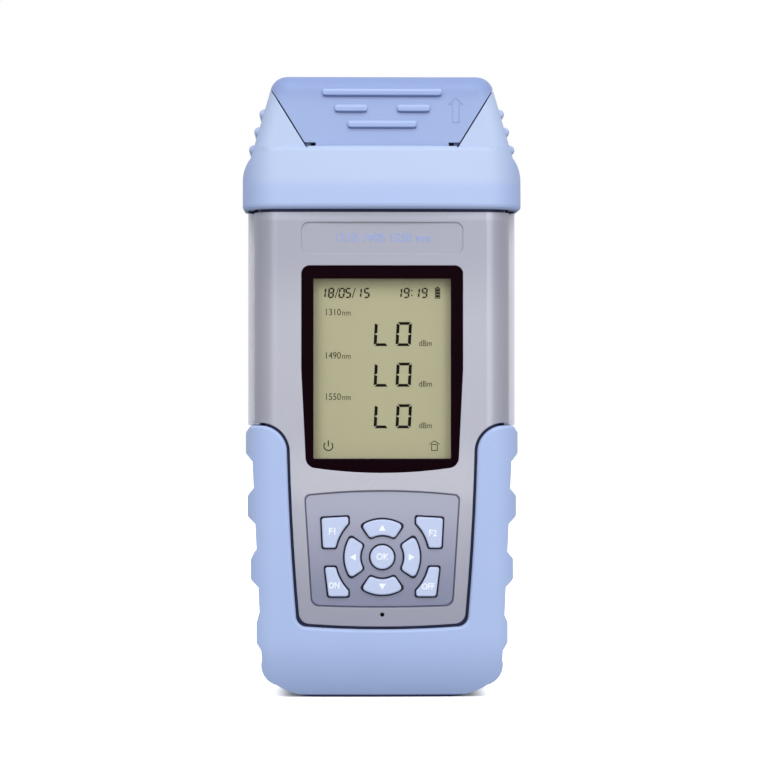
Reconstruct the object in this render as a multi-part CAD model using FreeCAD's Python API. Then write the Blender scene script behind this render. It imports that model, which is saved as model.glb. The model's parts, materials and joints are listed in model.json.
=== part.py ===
import FreeCAD, Part
import math
import os

from FreeCAD import Vector

# Hand-held optical power meter, in millimetres. +Z is up, the display faces -Y, and the origin lies
# under the middle of the meter on the surface that it stands on.

# ---- Housing: two moulded shells that meet on a plane across the depth
wall = 2.2                    # shell wall
boot_floor = 3.0              # rubber under the housing
face_y = -17.5                # middle of the front face
face_crown = 0.7              # how far the face falls back at its creases
front_half_width = 41.2
crease_inset = 7.7            # from the side of the front shell to the crease beside the face
crease_x = front_half_width - crease_inset
crease_shift = 0.4            # share of a wall by which the creases move outwards with it
front_side_depth = 8.0        # depth of the rounded flank beside the face
front_flank_bulge = 1.9
parting_y = -5.0
rear_step = 2.1               # how far the rear shell stands out past the front one
rear_half_width = front_half_width + rear_step
rear_side_depth = 10.0        # straight part of the rear flank
rear_y = 19.5                 # middle of the back
rear_crown = 0.6
rear_flat_inset = 13.3
rear_flat_x = rear_half_width - rear_flat_inset
rear_flank_bulge = 3.4
waist_step = 1.3              # the housing steps in by this much under the boot
waist_half_width = front_half_width - waist_step
foot_taper = 3.0
foot_half_width = waist_half_width - foot_taper
foot_corner_z = 13.0
foot_corner_bulge = 3.2
foot_corner_run = 11.9
foot_flat_x = foot_half_width - foot_corner_run
housing_edge = 0.8            # rounding of the rear shell's outer lip

# ---- Lower boot
boot_wall = 2.0
boot_back_wall = 2.0
boot_side_wall = 2.4
boot_foot_wall = 1.8
boot_crease_shift = 2.0
boot_crease_x = crease_x + boot_crease_shift
boot_crown = 1.3
boot_foot_half_width = foot_half_width + boot_foot_wall
boot_top_half_width = waist_half_width + boot_side_wall
bump_room = 1.9               # the tops of the bumps lie within this of the boot's side
boot_half_width = boot_top_half_width + bump_room
boot_flank_depth = 9.5
boot_flank_bulge = 2.3
boot_foot_z = 12.0
boot_corner_run = 4.7
boot_corner_x = boot_foot_half_width - boot_corner_run
boot_corner_z = 3.9
boot_corner_bulge = 1.9
boot_foot_bulge = 0.9
boot_foot_run = 12.5
boot_flat_x = boot_corner_x - boot_foot_run
toe_run = 5.5                 # the housing's flat bottom starts this far behind its face
toe_front = face_y + toe_run
heel_run = 5.0
toe_back = rear_y - heel_run
toe_height = 19.0             # the toe and heel curve in below this
toe_bulge = 1.4
toe_steps = 5                 # sections of the boot's curved toe and heel
boot_edge = 1.0
rim_proud = 0.4               # the boot's rim stands at least this far off the housing
opening_inset = 2.9           # from the crease to the boot's opening
opening_top_x = crease_x - opening_inset
opening_waist_in = 0.8
opening_waist_x = opening_top_x - opening_waist_in
opening_bottom_in = 3.2
opening_bottom_x = opening_top_x - opening_bottom_in
opening_bottom_z = 22.0
opening_waist_up = 35.6
opening_waist_z = opening_bottom_z + opening_waist_up
arm_height = 65.4             # the boot's arms stand this far over the foot of its opening
boot_top = opening_bottom_z + arm_height
opening_bow = 1.1
opening_corner = 3.5
arm_corner = 8.5
bump_heights = (1.3, 2.2, 2.3, 1.9)
bump_pitch = 20.3
bump_first_z = 20.9
bump_length = 6.6
bump_ramp = 2.4
bump_round = 1.5
bump_sink = 0.2
groove_width = 0.9            # shadow groove in the shells, beside the boot and under the collar
groove_depth = 1.2
rubber_fit = 0.1              # rubber to housing

# ---- The front, from the foot up
pad_rise = 7.4                # from the foot of the boot's opening to the keypad
pad_bottom = opening_bottom_z + pad_rise
pad_height = 35.8
pad_top = pad_bottom + pad_height
window_rise = 9.1
window_bottom = pad_top + window_rise
window_height = 64.5
window_top = window_bottom + window_height
label_rise = 3.8
label_bottom = window_top + label_rise
label_height = 10.2
label_top = label_bottom + label_height
cap_rise = 4.2
cap_bottom = label_top + cap_rise
collar_drop = 10.0            # how far the collar reaches down over the housing
housing_bottom = boot_floor
housing_top = cap_bottom + collar_drop

# ---- Top cap: collar round the housing, and the ribbed cheeks beside the port bay
collar_height = 20.4
collar_top = cap_bottom + collar_height
collar_side_wall = 1.7
collar_half_width = rear_half_width + collar_side_wall
collar_front_wall = 4.0
collar_front = collar_front_wall - face_y
collar_back_wall = 2.0
collar_back = rear_y + collar_back_wall
collar_crown = 2.4
collar_crease_shift = 0.5
collar_crease_x = crease_x + collar_crease_shift
collar_flank_depth = 10.0
collar_flank_bulge = 2.2
collar_lean = 1.5             # the collar's face leans back by this much
collar_corner = 11.0
collar_edge = 1.8             # rounding along the collar's top, in this many steps
collar_edge_steps = 3
collar_lip = 1.0
collar_lip_edge = 1.6         # rounding of the collar's foot
head_height = 33.0
head_top = housing_top + head_height
head_step = 0.7               # from the collar's side to the head's
head_base_half_width = collar_half_width - head_step
head_taper = 9.55
head_top_half_width = head_base_half_width - head_taper
head_setback = 0.1
head_front = -face_y - head_setback
head_back_proud = 0.1
head_back = rear_y + head_back_proud
head_lean = 1.4
head_foot = 6.0               # the head starts this far inside the collar
head_corner = 6.0
head_edge = 5.5
head_top_flat_y = 4.0
head_top_radius = 24.0
rib_count = 3
rib_pitch = 5.8
rib_rise = 9.4                # from the housing's top to the first rib
rib_first_z = housing_top + rib_rise
rib_radius = 1.6
rib_half_length = 10.0
rib_sink = 0.25
cheek_front_wall = 4.0
cheek_back_wall = 5.0

# ---- Port cover
split_low_inset = 19.9        # from the head's foot to the cover's lower corner
split_low_x = head_base_half_width - split_low_inset
split_sink = 0.5              # the cover's foot lies this far below the collar's top
split_low_z = collar_top - split_sink
split_high_inset = 0.05
split_high_x = head_top_half_width - split_high_inset
split_height = 16.7
split_high_z = split_low_z + split_height
cover_wall = 2.2
cover_gap = 0.3
notch_length = 3.0
notch_height = 1.2
cover_seat_y = -5.0           # the cap's cheeks step in behind this, and close the split to the eye
cover_step = 0.9
finger_bar_height = 2.5
finger_bar_proud = 1.1        # at its bottom edge
finger_bar_lip = 0.7          # height of its upright bottom edge
finger_bar_pitch = 5.15
finger_bar_drop = 5.3
finger_bar_top_z = head_top - finger_bar_drop
long_bar_half = 19.2
short_bar_half = 5.25
short_bar_x = 10.05
middle_bar_half = 11.1
bay_step = 0.4                # the bay is this much narrower than the cover's lower edge
bay_half_width = split_low_x - bay_step
bay_wall = 3.0
hinge_inset = 4.0
hinge_y = head_back - hinge_inset
hinge_drop = 7.4
hinge_z = head_top - hinge_drop
knuckle_radius = 3.2
knuckle_inset = 2.75          # from the head's top corner to the ears' outer faces
knuckle_outer_x = head_top_half_width - knuckle_inset
knuckle_length = 10.0
knuckle_inner_x = knuckle_outer_x - knuckle_length
ear_root = 2.0                # how far the ears go down into the back wall
pin_end_gap = 0.5             # from the pin's ends to the ears' outer faces
pin_radius = 1.0
pin_running = 0.08
hinge_gap = 0.4

# ---- Optical ports
port_x = 13.5
port_y = 3.0
port_flange = 13.6
port_flange_thickness = 2.0
port_flange_corner = 1.5
port_barrel_radius = 4.0
port_barrel_height = 10.5
port_barrel_edge = 0.4
port_tail_radius = 4.2
port_tail_length = 7.0
port_mouth_radius = 1.45
port_mouth_depth = 0.8
sleeve_radius = 1.6
sleeve_bore_radius = 1.26
sleeve_fit = 0.04
port_key_width = 2.0
port_key_depth = 3.0
port_key_wall = 0.8
port_hole_fit = 0.15
port_screw_offset = 5.1
port_screw_head = 1.5
port_screw_head_height = 0.8
port_screw_shank = 0.75
port_screw_length = 4.0
detector_radius = 2.7
detector_length = 4.2
detector_lead_radius = 0.25
detector_lead_length = 5.0
detector_lead_x = 1.27
detector_fit = 0.06

# ---- Display
window_half_width = 25.9
window_straight = 33.3        # height over which the window's sides run straight
window_taper_z = window_top - window_straight
window_taper = 1.5
window_low_half_width = window_half_width - window_taper
window_bow = 2.0
window_top_corner = 2.6
window_low_corner = 3.3
window_inset = 0.4
window_thickness = 1.0
window_fit = 0.1
window_ledge = 2.3
panel_side_inset = 1.3
panel_half_width = window_half_width - panel_side_inset
panel_rise = 1.3
panel_bottom = window_bottom + panel_rise
panel_drop = 2.6
panel_top = window_top - panel_drop
panel_thickness = 2.8
panel_setback = 3.3           # from the window's face to the panel's face
panel_fit = 0.1
carrier_wall = 1.8
carrier_mouth = 1.2           # overlap of the carrier's lip on the panel
carrier_corner = 1.5

# ---- Label recess
label_half_width = 26.0
label_corner = 2.5
label_depth = 0.8

# ---- Keypad
pad_drop = 20.0
pad_z = pad_top - pad_drop    # centre of the round cluster
pad_top_half_width = 25.1
pad_taper = 2.2
pad_low_half_width = pad_top_half_width - pad_taper
pad_top_bow = 1.5
pad_low_bow = 0.5
pad_top_corner = 1.8
pad_low_corner = 2.7
pad_depth = 0.7
pad_groove_width = 0.45
pad_groove_depth = 0.5
key_gap = 0.5
key_proud = 1.3
key_edge = 0.45
key_flange = 1.0
key_flange_thickness = 0.9
key_slack = 0.1
key_stem_length = 1.3
key_travel = 0.8
key_corner = 0.8
ok_radius = 3.8
ring_inner_radius = 7.1
ring_outer_radius = 12.1
ring_half_angle = 33.0
ring_corner = 1.2
corner_arc_radius = 15.3
corner_inner_x = 10.9
upper_top_x = 19.5
upper_taper = 0.5
upper_low_x = upper_top_x - upper_taper
upper_key_drop = 7.5          # from the keypad's top to the upper corner keys
upper_top_z = pad_top - upper_key_drop
upper_rise = 0.5
upper_height = 9.5
upper_low_z = upper_top_z - upper_height
corner_key_gap = 6.2          # between the upper and lower corner keys
lower_top_z = upper_low_z - corner_key_gap
lower_height = 9.4
lower_low_z = lower_top_z - lower_height
lower_top_x = 18.4
lower_taper = 1.2
lower_low_x = lower_top_x - lower_taper
mat_thickness = 1.1
mat_margin = 1.6
dome_radius = 2.6
dome_top_radius = 1.8
pinhole_radius = 0.68
pinhole_drop = 2.7
pinhole_z = pad_bottom - pinhole_drop

# ---- Board and what it carries
board_setback = 3.0           # from the shells' parting to the board's face
board_front = parting_y - board_setback
board_thickness = 1.6
board_back = board_front + board_thickness
board_side_gap = 8.0          # to the inside of the housing's sides
board_half_width = front_half_width - wall - board_side_gap
board_foot_taper = 3.0
board_low_half_width = board_half_width - board_foot_taper
board_top = cap_bottom
board_foot_gap = 11.0
board_bottom = housing_bottom + board_foot_gap
board_corner = 2.0
board_fit = 0.1
board_boss_radius = 2.4
board_boss_x = 21.0
board_boss_drop = 9.0
board_boss_foot = 4.5
board_boss_heights = (board_top - board_boss_drop, (pad_top + window_bottom) / 2,
                      board_bottom + board_boss_foot)
buzzer_radius = 3.9
buzzer_height = 3.2
buzzer_drop = 1.0             # from the pinhole down to the buzzer's axis
module_half_width = 24.0
module_drop = 13.0
module_top = board_top - module_drop
module_height = 32.0
module_bottom = module_top - module_height
module_thickness = 9.0
module_corner = 2.0

# ---- Screws
screw_inset = 8.0             # from the housing's side to its screws
screw_x = rear_half_width - screw_inset
screw_drop = 7.0              # from the cap to the upper screws
screw_over_boot = 9.6
screw_heights = (cap_bottom - screw_drop, boot_top + screw_over_boot)
low_screw_inset = 5.3
low_screw_x = foot_half_width - low_screw_inset
low_screw_rise = 13.5
low_screw_z = housing_bottom + low_screw_rise
screw_head_radius = 2.6
screw_head_height = 1.9
screw_head_edge = 0.6
screw_hole_past = 0.5         # how far a screw's hole goes past its tip
screw_shank_radius = 1.1
screw_clear_radius = 1.5
screw_pocket_radius = 2.9
screw_seat_depth = 7.0        # from the back to the screw heads' seats
screw_seat_y = rear_y - screw_seat_depth
screw_tip_depth = 5.5
screw_tip_y = face_y + screw_tip_depth
boss_radius = 3.9
front_boss_radius = 2.9
thread_fit = 0.04
board_screw_length = 5.0

# ---- Battery bay and cover
cell_radius = 7.1
cell_length = 49.2
cell_nub_radius = 2.75
cell_nub_length = 1.3
cell_count = 3
cell_pitch = 14.7
cell_slack = 0.5
cell_edge = 0.5
contact_length = 2.6
contact_plate = 0.4
contact_half_width = 4.6
tongue_half_width = 2.0
tongue_inset = 1.0            # from the plate's end to the tongue's foot
tongue_foot = 0.6
bay_rise = 24.0
bay_bottom = housing_bottom + bay_rise
bay_clear = 0.3
tub_wall = 1.6
cover_margin = 1.6            # cover past the battery bay, all round
cover_corner = 3.0
cover_fit = 0.2
grip_count = 5
grip_pitch = 1.8
grip_half_length = 7.0
grip_radius = 0.5
grip_drop = 7.0

# ---- Places that follow from the sizes
wall_inside = face_y + face_crown + wall      # the face is flat inside, as a seat


def in_front(x, z):
    """A point of an outline drawn as seen from the front."""
    return Vector(x, 0, z)


def in_plan(x, y):
    """A point of an outline drawn as seen from above."""
    return Vector(x, y, 0)


def in_side(y, z):
    """A point of an outline drawn as seen from the side."""
    return Vector(0, y, z)


def bulged(start, end, bulge):
    """The middle of an arc from start to end that stands bulge to the right of its chord."""
    du = end[0] - start[0]
    dv = end[1] - start[1]
    reach = bulge / math.hypot(du, dv)
    return ((start[0] + end[0]) / 2 + dv * reach, (start[1] + end[1]) / 2 - du * reach)


def outline(place, start, *steps):
    """A closed wire: a step of one point is a line to it, and of two points an arc through the first."""
    edges = []
    here = place(*start)
    for step in steps + ((start,),):
        end = place(*step[-1])
        if here.distanceToPoint(end) < 1e-6:
            continue
        if len(step) == 1:
            edges.append(Part.LineSegment(here, end).toShape())
        else:
            edges.append(Part.Arc(here, place(*step[0]), end).toShape())
        here = end
    return Part.Wire(edges)


def mirrored(place, first_middle, last_middle, start, *steps):
    """A closed wire with two like halves. start and steps are the half at +u, and the two middles are
    where the joining stretches cross u = 0."""
    ends = [start] + [step[-1] for step in steps]
    middles = [step[0] if len(step) == 2 else None for step in steps]
    other = []
    for index in range(len(steps) - 1, -1, -1):
        end = (-ends[index][0], ends[index][1])
        if middles[index] is None:
            other.append((end,))
        else:
            other.append(((-middles[index][0], middles[index][1]), end))
    last = ends[-1]
    path = list(steps)
    path.append(joining(last_middle, last, (-last[0], last[1])))
    path += other
    path.append(joining(first_middle, (-start[0], start[1]), start))
    return outline(place, start, *path)


def joining(middle, start, end):
    """A step from start to end across the middle plane: a line, or an arc where the middle is off it."""
    if abs(middle - start[1]) < 1e-6:
        return (end,)
    return ((0.0, middle), end)


def prism(wire, start, end):
    """An outline pushed between two places along the direction that it is seen in."""
    face = Part.Face(wire)
    normal = face.normalAt(0, 0)
    axis = Vector(abs(normal.x), abs(normal.y), abs(normal.z))
    face.translate(axis * start)
    return face.extrude(axis * (end - start))


def box(x0, x1, y0, y1, z0, z1):
    """A block between two corners."""
    return Part.makeBox(x1 - x0, y1 - y0, z1 - z0, Vector(x0, y0, z0))


def rod(x, y, z, radius, length, axis):
    """A round bar that starts at a point and runs along an axis."""
    return Part.makeCylinder(radius, length, Vector(x, y, z), axis)


def both_sides(shape):
    """A shape and its mirror image across the middle of the meter."""
    return [shape, shape.mirror(Vector(0, 0, 0), Vector(1, 0, 0))]


def fused(shapes):
    """Several touching shapes as one clean solid."""
    whole = shapes[0].fuse(list(shapes[1:]))
    return whole.removeSplitter()


def rounded(shape, radius, wanted):
    """Round the edges that a test picks out."""
    edges = [edge for edge in shape.Edges if wanted(edge)]
    return shape.makeFillet(radius, edges)


def runs_along(edge, axis):
    """Whether an edge is straight and lies along an axis."""
    if not isinstance(edge.Curve, Part.Line):
        return False
    return abs(edge.tangentAt(edge.FirstParameter).dot(axis)) > 0.999


def stands_at(edge, axis, x, z):
    """Whether an edge runs along an axis through a place of the front view, on either side."""
    if not runs_along(edge, axis):
        return False
    middle = edge.valueAt((edge.FirstParameter + edge.LastParameter) / 2)
    return abs(abs(middle.x) - abs(x)) < 0.02 and abs(middle.z - z) < 0.02


X_AXIS = Vector(1, 0, 0)
Y_AXIS = Vector(0, 1, 0)
Z_AXIS = Vector(0, 0, 1)
FAR = 60.0                    # past every side of the meter
ABOVE = 240.0                 # over its top
PAST = 1.0                    # how far a cutting tool runs past a face
WELD = 0.1                    # how far one fused piece reaches into another


# ---- Housing shells

def housing_body(grow):
    """The outside of the closed housing, moved outwards by a distance: its front and rear parts."""
    low = housing_bottom - grow
    high = housing_top + grow
    step = boot_top + rubber_fit - grow
    seam = parting_y - grow
    crease = (crease_x + crease_shift * grow, face_y + face_crown - grow)
    crown = crease[1] if grow < 0 else face_y - grow
    shoulder = (front_half_width + grow, face_y + face_crown + front_side_depth)
    front = mirrored(in_plan, crown, parting_y, crease,
                     (bulged(shoulder, crease, -front_flank_bulge), shoulder),
                     ((front_half_width + grow, parting_y),))
    rear_corner = (rear_half_width + grow, parting_y + rear_side_depth)
    rear_flat = (rear_flat_x + crease_shift * grow, rear_y - rear_crown + grow)
    rear = mirrored(in_plan, seam, rear_y + grow, (rear_half_width + grow, seam), (rear_corner,),
                    (bulged(rear_corner, rear_flat, rear_flank_bulge), rear_flat))
    foot = (foot_half_width + grow, foot_corner_z)
    flat = (foot_flat_x, low)
    sides = mirrored(in_front, high, low, (FAR, high), ((FAR, step),),
                     ((waist_half_width + grow, step),), (foot,),
                     (bulged(flat, foot, foot_corner_bulge), flat))
    blank = prism(sides, -FAR, FAR).common(toe_block(grow, low, high))
    return prism(front, low, high).common(blank), prism(rear, low, high).common(blank)


def toe_block(grow, low, high):
    """What the curved toe and heel leave of the meter's depth, moved outwards by a distance."""
    front = face_y - grow - WELD
    back = rear_y + grow + WELD
    toe = (toe_front - grow, low)
    heel = (toe_back + grow, low)
    wire = outline(in_side, toe, (heel,), (bulged(heel, (back, toe_height), toe_bulge), (back, toe_height)),
                   ((back, high),), ((front, high),), ((front, toe_height),),
                   (bulged((front, toe_height), toe, toe_bulge), toe))
    return prism(wire, -FAR, FAR)


def boot_opening(inset):
    """The opening that the boot leaves at the front and the back, made smaller by a distance."""
    top = boot_top + inset
    radius = arm_corner + inset
    arm = (opening_top_x - inset, boot_top - arm_corner)
    shoulder = (opening_top_x + arm_corner, top)
    middle = (shoulder[0] - radius * math.sqrt(0.5), arm[1] + radius * math.sqrt(0.5))
    corner = (opening_bottom_x - inset, opening_bottom_z + opening_bow + inset)
    wire = mirrored(in_front, ABOVE, opening_bottom_z + inset, (FAR, ABOVE),
                    ((FAR, top),), (shoulder,), (middle, arm),
                    ((opening_waist_x - inset, opening_waist_z), corner))
    return rounded(prism(wire, -FAR, FAR), opening_corner,
                   lambda edge: stands_at(edge, Y_AXIS, corner[0], corner[1]))


def shadow_grooves():
    """What the grooves take from the shells, beside the boot's opening and under the collar's lip."""
    front, rear = housing_body(-groove_depth)
    core = [front, rear, front.translated(Y_AXIS * (groove_depth + WELD))]
    beside_boot = boot_opening(0.0).cut(boot_opening(groove_width))
    under_collar = box(-FAR, FAR, -FAR, FAR, cap_bottom - groove_width, cap_bottom + collar_lip)
    return [beside_boot.cut(core), under_collar.cut(core)]


def window_outline(grow):
    """The display window as seen from the front."""
    low = window_bottom - grow
    return mirrored(in_front, window_top + grow, low - window_bow,
                    (window_half_width + grow, window_top + grow),
                    ((window_half_width + grow, window_taper_z),),
                    ((window_low_half_width + grow, low),))


def window_block(grow, front, back):
    """The window's form between two depths, its corners rounded."""
    block = prism(window_outline(grow), front, back)
    top_corner = window_top + grow
    low_corner = window_bottom - grow
    block = rounded(block, window_top_corner + grow,
                    lambda edge: stands_at(edge, Y_AXIS, window_half_width + grow, top_corner))
    return rounded(block, window_low_corner + grow,
                   lambda edge: stands_at(edge, Y_AXIS, window_low_half_width + grow, low_corner))


def pad_block(inset, front, back):
    """The keypad recess between two depths."""
    top = (pad_top_half_width - inset, pad_top - inset)
    low = (pad_low_half_width - inset, pad_bottom + inset)
    block = prism(mirrored(in_front, top[1] + pad_top_bow, low[1] - pad_low_bow, top, (low,)),
                  front, back)
    block = rounded(block, pad_top_corner, lambda edge: stands_at(edge, Y_AXIS, *top))
    return rounded(block, pad_low_corner, lambda edge: stands_at(edge, Y_AXIS, *low))


def screw_places():
    """Where the housing screws go, in the front view."""
    places = [(side * screw_x, z) for z in screw_heights for side in (-1, 1)]
    return places + [(-low_screw_x, low_screw_z), (low_screw_x, low_screw_z)]


def board_screw_places():
    """Where the board screws go, in the front view."""
    return [(side * board_boss_x, z) for z in board_boss_heights for side in (-1, 1)]


pad_floor = face_y + pad_depth
window_face = face_y + window_inset


def make_front_housing():
    """Front shell with its window, label and keypad recesses, key holes and screw bosses."""
    outer, _ = housing_body(0.0)
    inner, _ = housing_body(-wall)
    shell = outer.cut(inner)
    bosses = [rod(x, face_y, z, front_boss_radius, parting_y - face_y, Y_AXIS)
              for x, z in screw_places()]
    bosses += [rod(x, face_y, z, board_boss_radius, board_front - face_y, Y_AXIS)
               for x, z in board_screw_places()]
    shell = fused([shell] + [boss.common(outer) for boss in bosses])
    tools = [window_block(window_fit, face_y - PAST, window_face + window_thickness + window_fit)]
    tools.append(window_block(-window_ledge, face_y, wall_inside + PAST))
    label = box(-label_half_width, label_half_width, face_y - PAST, face_y + label_depth,
                label_bottom, label_top)
    tools.append(rounded(label, label_corner, lambda edge: runs_along(edge, Y_AXIS)))
    tools.append(pad_block(0.0, face_y - PAST, pad_floor))
    groove = pad_block(0.0, face_y - PAST, pad_floor + pad_groove_depth)
    tools.append(groove.cut(pad_block(pad_groove_width, face_y - 2 * PAST, FAR)))
    tools += shadow_grooves()
    tools += [solid for _, solid in key_blocks(key_gap, face_y - PAST, wall_inside + PAST)]
    tools.append(rod(0, face_y - PAST, pinhole_z, pinhole_radius, wall_inside - face_y + 2 * PAST, Y_AXIS))
    for x, z in screw_places():
        tools.append(rod(x, screw_tip_y, z, screw_shank_radius + thread_fit, FAR, Y_AXIS))
    for x, z in board_screw_places():
        tools.append(rod(x, board_back - board_screw_length - screw_hole_past, z,
                         screw_shank_radius + thread_fit, FAR, Y_AXIS))
    return shell.cut(tools)


# ---- Battery bay places

cells_half_width = (cell_count - 1) / 2 * cell_pitch + cell_radius
bay_half_x = cells_half_width + bay_clear
bay_length = cell_length + cell_nub_length + 2 * contact_length + cell_slack
bay_top_z = bay_bottom + bay_length
cover_inner_y = rear_y - wall
bay_floor_y = cover_inner_y - cover_fit - 2 * cell_radius - bay_clear


def cover_block(grow, front, back):
    """The battery cover's outline between two depths."""
    block = box(-bay_half_x - cover_margin - grow, bay_half_x + cover_margin + grow, front, back,
                bay_bottom - cover_margin - grow, bay_top_z + cover_margin + grow)
    return rounded(block, cover_corner + grow, lambda edge: runs_along(edge, Y_AXIS))


def make_rear_housing():
    """Rear shell with its battery tub, screw bosses and the holes for the optical ports."""
    _, outer = housing_body(0.0)
    front_inner, inner = housing_body(-wall)
    outer = rounded(outer, housing_edge, is_lip_edge)
    mouth = front_inner.translated(Y_AXIS * (wall + WELD))
    shell = outer.cut([inner, mouth])
    tub = box(-bay_half_x - tub_wall, bay_half_x + tub_wall, bay_floor_y - tub_wall, rear_y + PAST,
              bay_bottom - tub_wall, bay_top_z + tub_wall)
    seat = cover_block(tub_wall, cover_inner_y - cover_fit - tub_wall, rear_y + PAST)
    bosses = [rod(x, parting_y, z, boss_radius, FAR, Y_AXIS) for x, z in screw_places()]
    shell = fused([shell] + [solid.common(outer) for solid in [tub, seat] + bosses])
    tools = [box(-bay_half_x, bay_half_x, bay_floor_y, rear_y + PAST, bay_bottom, bay_top_z)]
    tools.append(cover_block(cover_fit, cover_inner_y - cover_fit, rear_y + PAST))
    tools += shadow_grooves()
    for x, z in screw_places():
        tools.append(rod(x, parting_y - PAST, z, screw_clear_radius, FAR, Y_AXIS))
        tools.append(rod(x, screw_seat_y, z, screw_pocket_radius, FAR, Y_AXIS))
    for side in (-1, 1):
        tools.append(rod(side * port_x, port_y, housing_top - wall - PAST,
                         port_tail_radius + port_hole_fit, wall + 2 * PAST, Z_AXIS))
        for x, y in port_screw_places(side):
            tools.append(rod(x, y, housing_top - wall - PAST, port_screw_shank + thread_fit,
                             wall + 2 * PAST, Z_AXIS))
    return shell.cut(tools)


def is_lip_edge(edge):
    """Whether an edge is the rear shell's outer lip beside the front shell."""
    room = edge.BoundBox
    beside = min(abs(room.XMin), abs(room.XMax)) > front_half_width
    return beside and runs_along(edge, Z_AXIS) and abs(room.YMax - parting_y) < 0.01


# ---- Lower boot

def boot_plan(toe, heel):
    """The boot's outline seen from above, its front and back drawn in by two distances."""
    front_crease = (boot_crease_x, face_y - boot_wall + boot_crown + toe)
    front_corner = (boot_half_width, front_crease[1] + boot_flank_depth)
    back_crease = (boot_crease_x, rear_y + boot_back_wall - boot_crown - heel)
    back_corner = (boot_half_width, back_crease[1] - boot_flank_depth)
    return mirrored(in_plan, face_y - boot_wall + toe, rear_y + boot_back_wall - heel, front_crease,
                    (bulged(front_corner, front_crease, -boot_flank_bulge), front_corner),
                    (back_corner,),
                    (bulged(back_crease, back_corner, -boot_flank_bulge), back_crease))


def toe_recess(run, z):
    """How far an arc that leaves the upright at toe_height has curved in at a height."""
    radius = (toe_height ** 2 + run ** 2) / (2 * run)
    return radius - math.sqrt(radius ** 2 - (toe_height - z) ** 2)


def boot_blank():
    """The boot's front, flanks and back: upright, then curving in at the toe and the heel."""
    sections = []
    for step in range(toe_steps + 1):
        z = toe_height * step / toe_steps
        wire = boot_plan(toe_recess(toe_run, z), toe_recess(heel_run, z))
        wire.translate(Z_AXIS * z)
        sections.append(wire)
    return fused([Part.makeLoft(sections, True), prism(boot_plan(0.0, 0.0), toe_height, boot_top)])


def make_lower_boot():
    """Soft boot round the foot, with grip bumps on its flanks and an opening front and back."""
    foot = (boot_foot_half_width, boot_foot_z)
    corner = (boot_corner_x, boot_corner_z)
    flat = (boot_flat_x, 0.0)
    sides = prism(mirrored(in_front, boot_top, 0.0, (boot_top_half_width, boot_top), (foot,),
                           (bulged(corner, foot, boot_corner_bulge), corner),
                           (bulged(flat, corner, boot_foot_bulge), flat)), -FAR, FAR)
    bumps = [part for index in range(len(bump_heights)) for part in both_sides(grip_bump(index))]
    boot = fused([sides] + bumps).common([boot_blank()])
    opening = boot_opening(0.0)
    boot = boot.cut(list(housing_body(rubber_fit)) + [opening])
    return rounded(boot, boot_edge, lambda edge: is_rim(edge, opening))


def is_rim(edge, opening):
    """Whether an edge of the boot runs round the outer rim of its opening."""
    middle = edge.valueAt((edge.FirstParameter + edge.LastParameter) / 2)
    outside = middle.y < face_y - rim_proud or middle.y > rear_y + rim_proud
    if not outside or edge.BoundBox.YLength > edge.Length / 2:
        return False
    return opening.distToShape(Part.Vertex(middle))[0] < 0.01


def grip_bump(index):
    """One raised grip on the right flank, seen from the front as a low bar with sloped ends."""
    middle = bump_first_z + index * bump_pitch
    slope = (boot_top_half_width - boot_foot_half_width) / (boot_top - boot_foot_z)
    base = boot_foot_half_width + slope * (middle - boot_foot_z)
    half = bump_length / 2
    crest = base + bump_heights[index]
    inside = base - boot_wall
    low = middle - half - bump_ramp
    high = middle + half + bump_ramp
    wire = outline(in_front, (inside, low), ((base - bump_sink, low),), ((crest, middle - half),),
                   ((crest, middle + half),), ((base + bump_sink, high),), ((inside, high),))
    bump = prism(wire, -FAR, FAR)
    return rounded(bump, bump_round, lambda edge: runs_along(edge, Y_AXIS)
                   and edge.BoundBox.XMin > crest - WELD)


# ---- Top cap and port cover

bay_front = bay_wall - head_front
bay_back = head_back - bay_wall
split_slope = (split_high_z - split_low_z) / (split_high_x - split_low_x)
split_stretch = math.hypot(1.0, split_slope)
head_slope = (head_base_half_width - head_top_half_width) / (head_top - housing_top)
shelf_z = hinge_z - knuckle_radius - hinge_gap


def split_outline(gap, floor):
    """The port cover's share of the head seen from the front, drawn in by a gap, down to a floor."""
    rise = split_low_z + gap * split_stretch
    low_z = split_low_z + gap
    low = (split_low_x + (low_z - rise) / split_slope, low_z)
    high_z = head_top + PAST
    high = (split_low_x + (high_z - rise) / split_slope, high_z)
    if floor < low_z:
        return mirrored(in_front, high_z, floor, high, (low,), ((low[0], floor),))
    return mirrored(in_front, high_z, low_z, high, (low,))


def head_blank(shrink):
    """The head that the cap and the port cover share, drawn in by a distance, with plain edges."""
    front_low = -head_front + shrink
    front_high = front_low + head_lean
    back = head_back - shrink
    top = head_top - shrink
    radius = head_top_radius - shrink
    drop = radius - math.sqrt(radius ** 2 - (back - head_top_flat_y) ** 2)
    half = (back - head_top_flat_y) / 2
    half_drop = radius - math.sqrt(radius ** 2 - half ** 2)
    foot = housing_top - head_foot
    lean = head_lean / head_height
    side = outline(in_side, (front_low - lean * head_foot, foot), ((front_high, top),),
                   ((head_top_flat_y, top),),
                   ((head_top_flat_y + half, top - half_drop), (back, top - drop)), ((back, foot),))
    front = mirrored(in_front, head_top, foot, (head_top_half_width - shrink, head_top),
                     ((head_base_half_width + head_slope * head_foot - shrink, foot),))
    return prism(side, -FAR, FAR).common(prism(front, -FAR, FAR))


def head_block():
    """The head with its upright corners and its top edges rounded."""
    block = rounded(head_blank(0.0), head_corner, is_head_corner)
    block = rounded(block, head_edge, is_head_top_edge)
    return block.common(prism(collar_plan(collar_lean), cap_bottom, head_top))


def is_head_corner(edge):
    """Whether an edge is one of the head's four upright corners."""
    room = edge.BoundBox
    return room.ZMin < housing_top and room.ZLength > head_height / 2


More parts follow.
